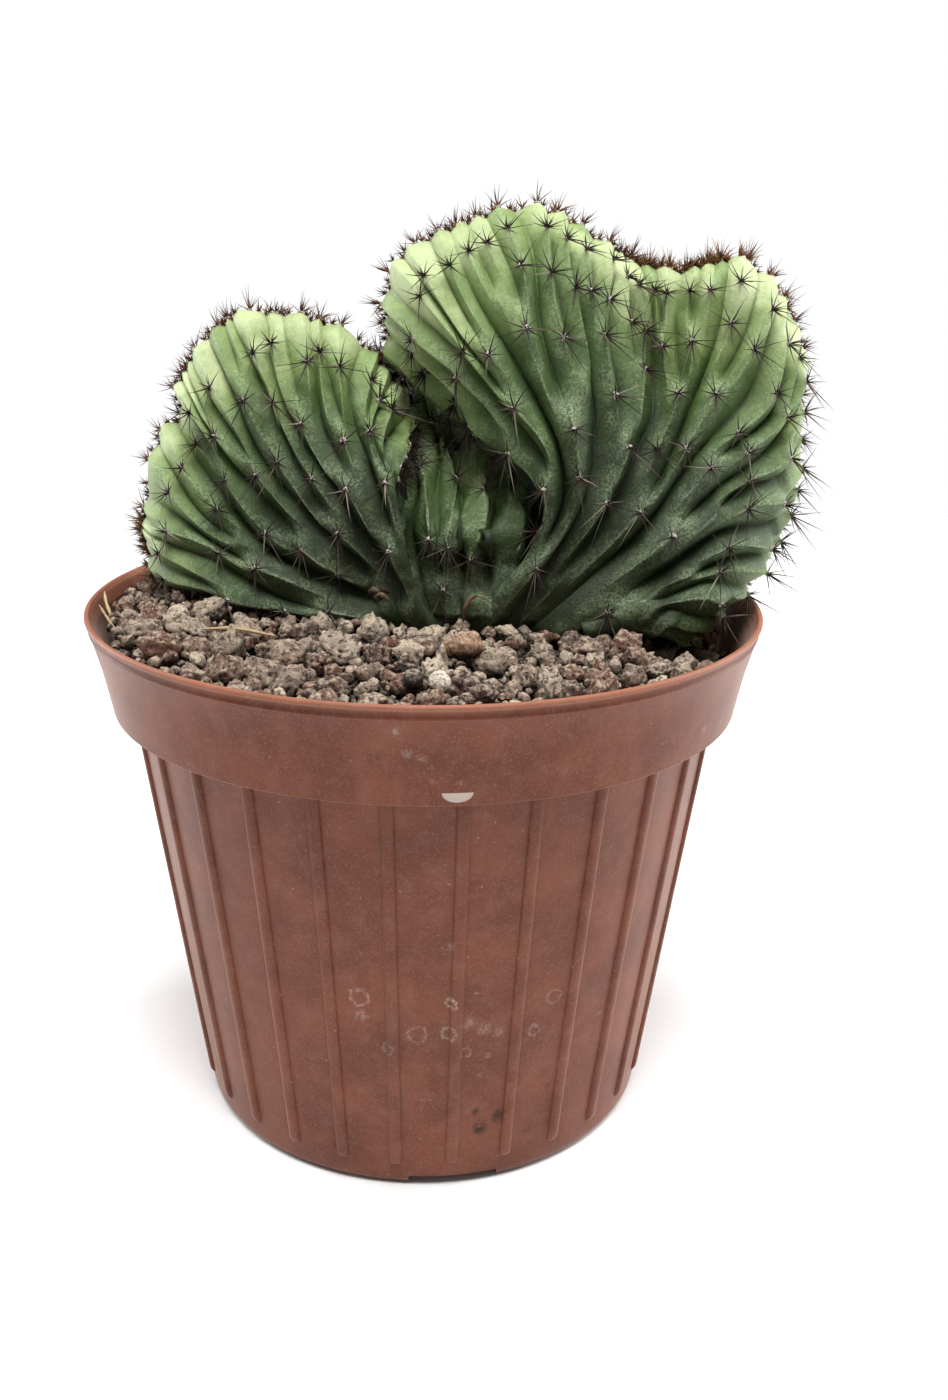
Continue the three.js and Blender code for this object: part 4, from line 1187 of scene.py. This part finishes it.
def stump_mesh():
    run = np.linspace(0, 1, STUMP_ROWS)
    profile = [(max(0.0, float(r)), float(z)) for r, z in along(spread(STUMP_PROFILE, run), run)]
    profile[0] = (0, profile[0][1])
    profile[-1] = (0, profile[-1][1])
    points, faces = turned(profile, STUMP_SEGMENTS)
    points = np.array(points)
    angle = np.arctan2(points[:, 1], points[:, 0])
    twist = np.sin(points[:, 2] * STUMP_TWIST[0]) * STUMP_TWIST[1]
    fold = np.abs(np.cos(angle * STUMP_FOLDS + twist)) ** STUMP_FOLD_WIDTH
    swell = 1 - STUMP_FOLD_DEPTH * (1 - fold)
    points[:, 0] = points[:, 0] * swell * STUMP_STRETCH + STUMP_CENTRE[0]
    points[:, 1] = points[:, 1] * swell + STUMP_CENTRE[1]
    values = {"form": 0.3 + 0.5 * fold, "rise": np.full(len(points), 0.1), "bloom": np.zeros(len(points)),
              "tone": np.full(len(points), 0.4)}
    return mesh_of("stump", points, faces, values)


stump = piece_of(stump_mesh(), skin)
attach(stump, "root")
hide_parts("cactus")

# The spines: each areole, a felted cushion on a rib's ridge, holds thin radial spines spread like a star, and
# a few stronger ones stand out from its middle. They are dark when young and go grey and straw with age.
# Geometry Nodes set thin cones on points that the fans' own code has left on their ridges and crests.
SPINE_BEND = 2.2
WOOL_RADIUS = 0.6
WOOL_FLATNESS = 0.6


def carried(tree, name, kind="FLOAT_VECTOR"):
    """What the points of the mesh carry under a name"""
    return lay(tree, "GeometryNodeInputNamedAttribute", {"Name": name}, data_type=kind)


def chance(tree, low, high, seed):
    return lay(tree, "FunctionNodeRandomValue", {2: low, 3: high, 8: seed}, 1, data_type="FLOAT")


def stored(geometry, name, value, domain="POINT"):
    return lay(geometry.tree, "GeometryNodeStoreNamedAttribute", {
        "Geometry": geometry, "Name": name, "Value": value}, data_type="FLOAT", domain=domain)


def spine_tree():
    """Stars of spines: every point of the mesh carries its way out, its way up the rib and a size"""
    (tree, spots, count, least_lean, most_lean, length, base_radius, sag_by, low_corner, high_corner,
     tone_from, tone_to, seed, material) = new_growth("spine stars", [
         ("Count", "Int", 8), ("Least lean", "Float", 1.0), ("Most lean", "Float", 1.4),
         ("Length", "Float", 0.006), ("Base radius", "Float", 0.00015), ("Bend", "Float", 2.0),
         ("Low corner", "Vector", (-1, -1, 0)), ("High corner", "Vector", (1, 1, 1)),
         ("Tone from", "Float", 0.0), ("Tone to", "Float", 1.0), ("Seed", "Int", 1)])
    many = lay(tree, "GeometryNodeDuplicateElements", {"Geometry": spots, "Amount": count}, domain="POINT")
    turn = many.also("Duplicate Index") + chance(tree, -0.35, 0.35, seed)
    turn = turn * (math.tau / count) + carried(tree, "turn", "FLOAT")
    lean = chance(tree, least_lean, most_lean, seed + 1)
    out, upward = carried(tree, "out"), carried(tree, "upward")
    flat = upward * reckon("COSINE", turn) + reckon("CROSS_PRODUCT", out, upward) * reckon("SINE", turn)
    way = out * reckon("COSINE", lean) + flat * reckon("SINE", lean)
    reach = length * chance(tree, 0.5, 1.3, seed + 2) * (reckon("COSINE", turn) * -0.25 + 1.0)
    reach = reach * carried(tree, "size", "FLOAT")
    root = lay(tree, "GeometryNodeInputPosition")
    tip = reckon("MINIMUM", reckon("MAXIMUM", root + way * reach, low_corner), high_corner)
    spread_out = tip - root
    aim = lay(tree, "FunctionNodeAlignRotationToVector", {"Vector": spread_out}, axis="Z")

    cone = lay(tree, "GeometryNodeMeshCone", {
        "Vertices": 4, "Side Segments": 2, "Radius Top": 0.0, "Radius Bottom": 1.0, "Depth": 1.0},
        fill_type="NGON")
    height = lay(tree, "ShaderNodeSeparateXYZ", {0: lay(tree, "GeometryNodeInputPosition")}, "Z")
    sag = lay(tree, "ShaderNodeCombineXYZ", {0: height * height * sag_by})
    bent = lay(tree, "GeometryNodeSetPosition", {"Geometry": stored(cone, "tip", height), "Offset": sag})
    size = lay(tree, "ShaderNodeCombineXYZ", {
        0: base_radius, 1: base_radius, 2: reckon("LENGTH", spread_out)})
    copies = lay(tree, "GeometryNodeInstanceOnPoints", {
        "Points": many, "Instance": bent, "Rotation": aim, "Scale": size})
    tone = chance(tree, tone_from, tone_to, seed + 3)
    return ended_copies(stored(copies, "tone", tone, "INSTANCE"), material)


def wool_tree():
    """A low cushion on every point, laid flat on the skin"""
    tree, spots, radius, flatness, seed, material = new_growth("wool cushions", [
        ("Radius", "Float", 0.0008), ("Flatness", "Float", 0.6), ("Seed", "Int", 1)])
    ball = lay(tree, "GeometryNodeMeshUVSphere", {"Segments": 8, "Rings": 4, "Radius": 1.0})
    aim = lay(tree, "FunctionNodeAlignRotationToVector", {"Vector": carried(tree, "out")}, axis="Z")
    wide = radius * chance(tree, 0.75, 1.25, seed) * carried(tree, "size", "FLOAT")
    size = lay(tree, "ShaderNodeCombineXYZ", {0: wide, 1: wide, 2: wide * flatness})
    copies = lay(tree, "GeometryNodeInstanceOnPoints", {
        "Points": spots, "Instance": ball, "Rotation": aim, "Scale": size})
    return ended_copies(copies, material, smooth=True)


SPINE_DARK = colour(24, 18, 16)
SPINE_BROWN = colour(52, 38, 30)
SPINE_GREY = colour(112, 100, 88)
SPINE_STRAW = colour(206, 190, 158)
SPINE_GOLD = colour(158, 108, 54)
SPINE_RED = colour(96, 44, 30)
WOOL_GREY = colour(186, 180, 164)


def spine_look(name, stops, tip_colour, tip_share):
    """Spines are dull like horn. Their tone picks the colour, and their tips differ a little."""
    material, tree, shader = new_material(name)
    base = ramp(attribute(tree, "tone"), stops)
    base = mixed(eased(attribute(tree, "tip"), 0.35, 1.0) * tip_share, base, tip_colour)
    streaks = eased(noise(place_in_mm(tree), 3.0, detail=2.0), 0.4, 0.7, 0.0, 0.25)
    fill(shader, {
        "Base Color": mixed(streaks, base, SPINE_DARK), "Roughness": 0.6, "Specular IOR Level": 0.25})
    return material


def wool_look():
    material, tree, shader = new_material("wool")
    fluff = noise(place_in_mm(tree), 3.5, detail=4.0, roughness=0.7)
    fill(shader, {
        "Base Color": mixed(eased(fluff, 0.38, 0.58), SPINE_DARK, WOOL_GREY), "Roughness": 0.95,
        "Sheen Weight": 0.4, "Normal": bumps(fluff, 0.8, 0.3)})
    return material


stars = spine_tree()
cushions = wool_tree()
old_spines = spine_look("old_spines", [
    (0.0, SPINE_DARK), (1.0, SPINE_STRAW), (0.6, SPINE_BROWN), (0.85, SPINE_GREY)], SPINE_DARK, 0.5)
young_spines = spine_look("young_spines", [
    (0.0, SPINE_DARK), (1.0, SPINE_GOLD), (0.45, SPINE_RED), (0.8, SPINE_BROWN)], SPINE_DARK, 0.45)
wool = wool_look()

LOOK_WAYS = [Vector((0.3, -0.2, 1.0)), Vector((0.1, -1.0, 0.2)), Vector((-0.2, 1.0, 0.3))]


def inside(tree, point):
    """Whether a point is inside a closed body: most rays from it meet the body's skin from within"""
    hits = 0
    for way in LOOK_WAYS:
        place, normal, _, _ = tree.ray_cast(point, way)
        hits += place is not None and normal.dot(way) > 0
    return hits >= 2


def clear_of_others(point, trees):
    """Whether a point on one fan isn't buried in another"""
    return not any(inside(tree, Vector(point) * MM) for tree in trees)


graph = bpy.context.evaluated_depsgraph_get()
bodies = {fan["name"]: BVHTree.FromObject(fan["piece"], graph) for fan in FANS}
bodies["stump"] = BVHTree.FromObject(stump, graph)
GRIT_CLEARANCE = 1.5
YOUNG_FROM = 0.9
YOUNG_SIZE = 0.7
GAP_FROM = 0.84
# Parts of the crests whose spines have young golden ones among them
GOLDEN_PARTS = {"left": (-1, 0.16), "right": (0.36, 0.5)}
body_spots, crest_spots, gap_spots, golden_spots = [], [], [], []
for fan in FANS:
    others = [tree for name, tree in bodies.items() if name != fan["name"]]
    for spot in fan["areoles"]:
        on_grit = spot["root"][2] < float(grit_top(spot["root"][0], spot["root"][1])) + GRIT_CLEARANCE
        if not on_grit and clear_of_others(spot["root"], others):
            body_spots.append({**spot, "size": YOUNG_SIZE if spot["up"] > YOUNG_FROM else 1.0})
    for spot in fan["tufts"]:
        if not clear_of_others(spot["root"], others):
            continue
        in_gap = spot["up"] == 0 or fan is CENTRE_FAN or (fan is LEFT_FAN and spot["across"] > GAP_FROM)
        (gap_spots if in_gap else crest_spots).append(spot)
        low, high = GOLDEN_PARTS.get(fan["name"], (1, 0))
        if low < spot["across"] < high:
            golden_spots.append(spot)


def spots_mesh(name, spots):
    turns = [math.pi * steady(spot["across"] * 17 + spot["root"][2]) for spot in spots]
    return mesh_of(name, [spot["root"] for spot in spots], [], {
        "out": [spot["out"] for spot in spots], "upward": [spot["upward"] for spot in spots],
        "size": [spot["size"] for spot in spots], "turn": turns})


BOX_MARGIN = 0.5
margin = Vector((1, 1, 1)) * BOX_MARGIN * MM
inner_box = {"Low corner": tuple(Vector(cad_low) + margin), "High corner": tuple(Vector(cad_high) - margin)}
# Each set: name, spots, look, spines in a tuft, leans from upright, length, radius, tones and seed
spine_sets = [
    ("spines_radial", body_spots, old_spines, 9, (0.85, 1.32), 6.4, 0.15, (0.0, 0.9), 21),
    ("spines_central", body_spots, old_spines, 3, (0.1, 0.7), 4.6, 0.17, (0.0, 0.6), 31),
    ("spines_crest", crest_spots, young_spines, 13, (0.05, 1.3), 3.1, 0.12, (0.0, 1.0), 41),
    ("spines_golden", golden_spots, young_spines, 18, (0.05, 1.1), 3.4, 0.13, (0.8, 1.0), 61),
    # Gap spines are many and dark, crowded where fans meet, partly as painted shade in those gaps
    ("spines_gap", gap_spots, old_spines, 26, (0.05, 1.5), 4.4, 0.14, (0.0, 0.3), 51),
]
for name, spots, look, count, lean, length, radius, tone, seed in spine_sets:
    piece = grown(spots_mesh(name, spots), stars, {
        "Count": count, "Least lean": lean[0], "Most lean": lean[1], "Length": length * MM,
        "Base radius": radius * MM, "Bend": SPINE_BEND, "Tone from": tone[0], "Tone to": tone[1],
        "Seed": seed, "Material": look, **inner_box})
    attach(piece, "root")
    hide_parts("cactus")
felt = grown(spots_mesh("areole_wool", body_spots + crest_spots + gap_spots), cushions, {
    "Radius": WOOL_RADIUS * MM, "Flatness": WOOL_FLATNESS, "Seed": 5, "Material": wool})
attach(felt, "root")
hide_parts("cactus")

# The stones: loose lava, sieved and poured round the plant last, so the big ones lie on top. They are grey,
# beige, brown red or nearly black, and smaller crumbs fill the gaps between them. Places come from one seeded
# random generator, and Geometry Nodes set nine rough lumps on them.
STONE_SHAPES = 9
STONE_SEED = 3
# How far a stone's middle keeps from the plant, in radii, and how much of its radius counts at the pot's wall
STONE_CLEARANCE = 0.75
STONE_AT_WALL = 1.15
# How much higher or lower than its class a stone may lie, in radii, and how its three sizes vary
STONE_LIFT = (-0.25, 0.45)
STONE_STRETCH = (0.62, 1.16)
# How far under a stone's middle its painted shade sets in, in radii
STONE_SHADE_DROP = 0.15
TRIES_PER_STONE = 30
# The rough lumps: how fine their flat sides, crags and pits are, how deep crags go, how flat the sides are
FACET_SCALE = 1.15
CRAG_SCALE = 2.6
PIT_SCALE = 3.4
CRAG_GAIN = 2.6
FACET_DISTANCE = 0.86
LEAST_SLOPE = 0.62
stone_random = np.random.default_rng(STONE_SEED)


def stone_tree():
    """Stones on points: rough lumps are made, and each point takes one by its number, turned and sized"""
    (tree, spots, fineness, lump_depth, crag_depth, pit_depth, seed, smooth,
     material) = new_growth("lava stones", [
         ("Fineness", "Int", 3), ("Lump depth", "Float", 0.3), ("Crag depth", "Float", 0.12),
         ("Pit depth", "Float", 0.12), ("Seed", "Float", 0.0), ("Smooth", "Bool", True)])
    gathered = tree.nodes.new("GeometryNodeJoinGeometry")
    where = lay(tree, "GeometryNodeInputPosition")
    way = lay(tree, "GeometryNodeInputNormal")
    for shape in range(STONE_SHAPES):
        ball = lay(tree, "GeometryNodeMeshIcoSphere", {"Radius": 1.0, "Subdivisions": fineness})
        shift = lay(tree, "ShaderNodeCombineXYZ", {0: shape * 5.3, 1: shape * -3.7, 2: seed})
        place = where + shift
        facet = lay(tree, "ShaderNodeTexVoronoi", {
            "Vector": place, "Scale": FACET_SCALE}, "Position", feature="F1")
        slope = reckon("DOT_PRODUCT", where, reckon("NORMALIZE", facet - shift))
        flats = FACET_DISTANCE / reckon("MAXIMUM", slope, LEAST_SLOPE) - 1.0
        crags = noise(place, CRAG_SCALE, detail=4.0, roughness=0.66) - 0.5
        cells = lay(tree, "ShaderNodeTexVoronoi", {
            "Vector": place, "Scale": PIT_SCALE}, "Distance", feature="F1")
        pits = eased(cells, 0.05, 0.42, -1.0, 0.0)
        relief = crags * (crag_depth * CRAG_GAIN) + pits * pit_depth
        push = flats * lump_depth + relief
        moved = lay(tree, "GeometryNodeSetPosition", {
            "Geometry": stored(ball, "relief", relief), "Offset": way * push})
        fill(gathered, {0: lay(tree, "GeometryNodeGeometryToInstance", {0: moved})})
    copies = lay(tree, "GeometryNodeInstanceOnPoints", {
        "Points": spots, "Instance": Wire(gathered.outputs[0]), "Pick Instance": True,
        "Instance Index": carried(tree, "shape", "FLOAT"), "Rotation": carried(tree, "turned"),
        "Scale": carried(tree, "size")})
    return ended_copies(copies, material, smooth)


# Sizes of stones: name, how many, smallest and largest radius, how deep they sit, how close, fineness
STONE_CLASSES = [
    ("stones_big", 84, (2.5, 4.0), 0.05, 0.84, 4),
    ("stones_medium", 104, (1.8, 2.5), 0.05, 0.82, 4),
    ("stones_middle", 330, (1.2, 1.9), 0.1, 0.78, 2),
    ("stones_small", 520, (0.6, 1.1), 0.3, 0.74, 2),
]
STONE_REACH = inner_radius(GRIT_LEVEL) - FIT_GAP


def room_for(point, radius):
    """Whether a stone's middle is far enough outside the plant's skin"""
    for tree in bodies.values():
        _, _, _, distance = tree.find_nearest(Vector(point) * MM)
        if distance < radius * STONE_CLEARANCE * MM or inside(tree, Vector(point) * MM):
            return False
    return True


def scatter_stones():
    placed = np.zeros((0, 4))
    classes = {}
    for name, count, sizes, sunk, closeness, fineness in STONE_CLASSES:
        own = []
        tries = 0
        while len(own) < count and tries < count * TRIES_PER_STONE:
            tries += 1
            radius = stone_random.uniform(*sizes)
            out = (STONE_REACH - radius * STONE_AT_WALL) * math.sqrt(stone_random.uniform())
            angle = stone_random.uniform(0, math.tau)
            x, y = out * math.cos(angle), out * math.sin(angle)
            lift = stone_random.uniform(*STONE_LIFT) * radius
            z = float(grit_top(x, y)) - sunk * radius + lift
            if len(placed):
                gaps = np.linalg.norm(placed[:, :3] - (x, y, z), axis=1) / (placed[:, 3] + radius)
                if gaps.min() < closeness:
                    continue
            if not room_for((x, y, z), radius):
                continue
            own.append((x, y, z, radius))
            placed = np.vstack([placed, own[-1]])
        classes[name] = (own, fineness)
    return classes


def stones_mesh(name, stones, tones=None, shapes=None):
    count = len(stones)
    stones = np.array(stones)
    sizes = stones[:, 3:4] * stone_random.uniform(*STONE_STRETCH, (count, 3)) * MM
    turned_by = stone_random.uniform(0, math.tau, (count, 3))
    tones = stone_random.uniform(0, 1, count) if tones is None else tones
    shapes = stone_random.integers(0, STONE_SHAPES, count) if shapes is None else shapes
    return mesh_of(name, stones[:, :3], [], {
        "size": sizes, "turned": turned_by, "tone": tones, "shape": shapes,
        "shade_level": stones[:, 2] - STONE_SHADE_DROP * stones[:, 3]})


stones_of_lava = stone_tree()
stone_look = lava("lava_stones", [
    (0.0, LAVA_BEIGE), (1.0, LAVA_DARK), (0.26, LAVA_GREY), (0.6, LAVA_BROWN), (0.82, LAVA_RED)], 0.62)
for name, (stones, fineness) in scatter_stones().items():
    piece = grown(stones_mesh(name, stones), stones_of_lava, {
        "Fineness": fineness, "Lump depth": 1.0, "Crag depth": 0.26, "Pit depth": 0.22,
        "Seed": float(fineness), "Smooth": fineness > 2, "Material": stone_look})
    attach(piece, "root")
    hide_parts("grit")

# The pebbles: a rounded rust-brown one lies on top in the middle, with a white and a black chip by the rim.
# They are the few smooth stones that came with the lava, made like it with less relief, each in its place.
# Each pebble: name, place, radius, its two colours, and how lumpy it is
PEBBLES = [
    ("pebble_rust", (6.2, -30.5, 95.2), 3.2, colour(176, 142, 114), colour(138, 102, 80), 0.8),
    ("pebble_white", (2.1, -43.2, 93.2), 1.9, colour(236, 228, 214), colour(206, 190, 168), 0.2),
    ("pebble_black", (-1.9, -43.3, 93.8), 2.0, colour(58, 46, 44), colour(44, 36, 36), 0.25),
]
for name, place, radius, light, shade, lumpiness in PEBBLES:
    look = lava("look_" + name, [(0.0, light), (1.0, shade)], 0.25)
    piece = grown(stones_mesh(name, [(*place, radius)], [0.5], [2.0]), stones_of_lava, {
        "Fineness": 4, "Lump depth": lumpiness, "Crag depth": 0.2, "Pit depth": 0.0, "Seed": 8.0,
        "Material": look})
    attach(piece, "root")
    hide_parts("grit")

# Dry bits: two straws against the rim, a twig on the grit, and a curl and crumbs of dead skin by the trunk.
# Each is a thin tube of seven sides along a smooth line, and they lie loose on the grit and the plant's foot.
DRY_BROWN = colour(58, 42, 32)
DRY_STRAW = colour(190, 168, 124)
# Each bit as its tone, its thickness and the places that it runs through
DRY_BITS = [
    (0.9, 0.3, [(-54.6, -7.0, 91.5), (-56.4, -4.6, 94.4), (-57.2, -2.6, 96.6)]),
    (0.8, 0.26, [(-53.0, -13.0, 92.0), (-55.0, -11.4, 94.2), (-56.4, -10.4, 96.2)]),
    (0.7, 0.34, [(-37.0, -23.0, 95.6), (-31.0, -25.4, 96.4), (-24.5, -26.0, 95.4)]),
    (0.12, 0.42, [(6.4, -12.2, 94.0), (6.6, -12.8, 96.4), (7.6, -12.6, 98.4), (9.0, -11.6, 98.6)]),
    (0.4, 0.2, [(8.6, -11.8, 98.6), (9.6, -11.6, 98.4), (10.4, -11.2, 97.6)]),
    (0.1, 0.62, [(-9.8, -12.4, 99.4), (-8.8, -13.2, 99.9), (-7.8, -13.2, 99.2)]),
    (0.32, 0.5, [(-8.8, -13.2, 98.8), (-7.8, -13.6, 99.3), (-6.8, -13.2, 98.4), (-7.2, -12.8, 97.9)]),
    (0.0, 0.56, [(-8.2, -13.0, 99.8), (-7.2, -13.4, 100.0), (-6.4, -12.8, 99.2)]),
    (0.0, 0.5, [(-9.2, -12.8, 98.9), (-8.4, -13.2, 98.4), (-7.6, -12.8, 98.1)]),
]
BIT_SIDES = 7
BIT_RINGS = 12


def dry_bits_mesh():
    points, faces, tones, tips = [], [], [], []
    angles = np.arange(BIT_SIDES) * math.tau / BIT_SIDES
    for tone, thickness, places in DRY_BITS:
        run = np.linspace(0, 1, BIT_RINGS)
        line = along(spread(places, run), run)
        ahead_on = unit(np.gradient(line, axis=0))
        aside = unit(np.cross(ahead_on, np.array([0.2, 0.1, 1.0])))
        over = np.cross(aside, ahead_on)
        width = thickness * np.sqrt(np.maximum(0.03, 1 - (2 * run - 1) ** 2)) * (1 + 0.2 * np.sin(run * 19))
        first = len(points)
        for k in range(BIT_RINGS):
            across = np.cos(angles)[:, None] * aside[k] + np.sin(angles)[:, None] * over[k]
            points += list(line[k] + width[k] * across)
        tones += [tone] * (BIT_RINGS * BIT_SIDES)
        tips += list(np.repeat(run, BIT_SIDES) * 0.5)
        faces += tube_faces(first, BIT_RINGS, BIT_SIDES)
    return mesh_of("dry_bits", points, faces, {"tone": tones, "tip": tips})


bits_mesh = dry_bits_mesh()
if inside_out(bits_mesh):
    bits_mesh.flip_normals()
bits = piece_of(bits_mesh, spine_look("dry_matter", [(0.0, DRY_BROWN), (1.0, DRY_STRAW)], DRY_BROWN, 0.3))
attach(bits, "root")
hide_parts("grit")

low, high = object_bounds()
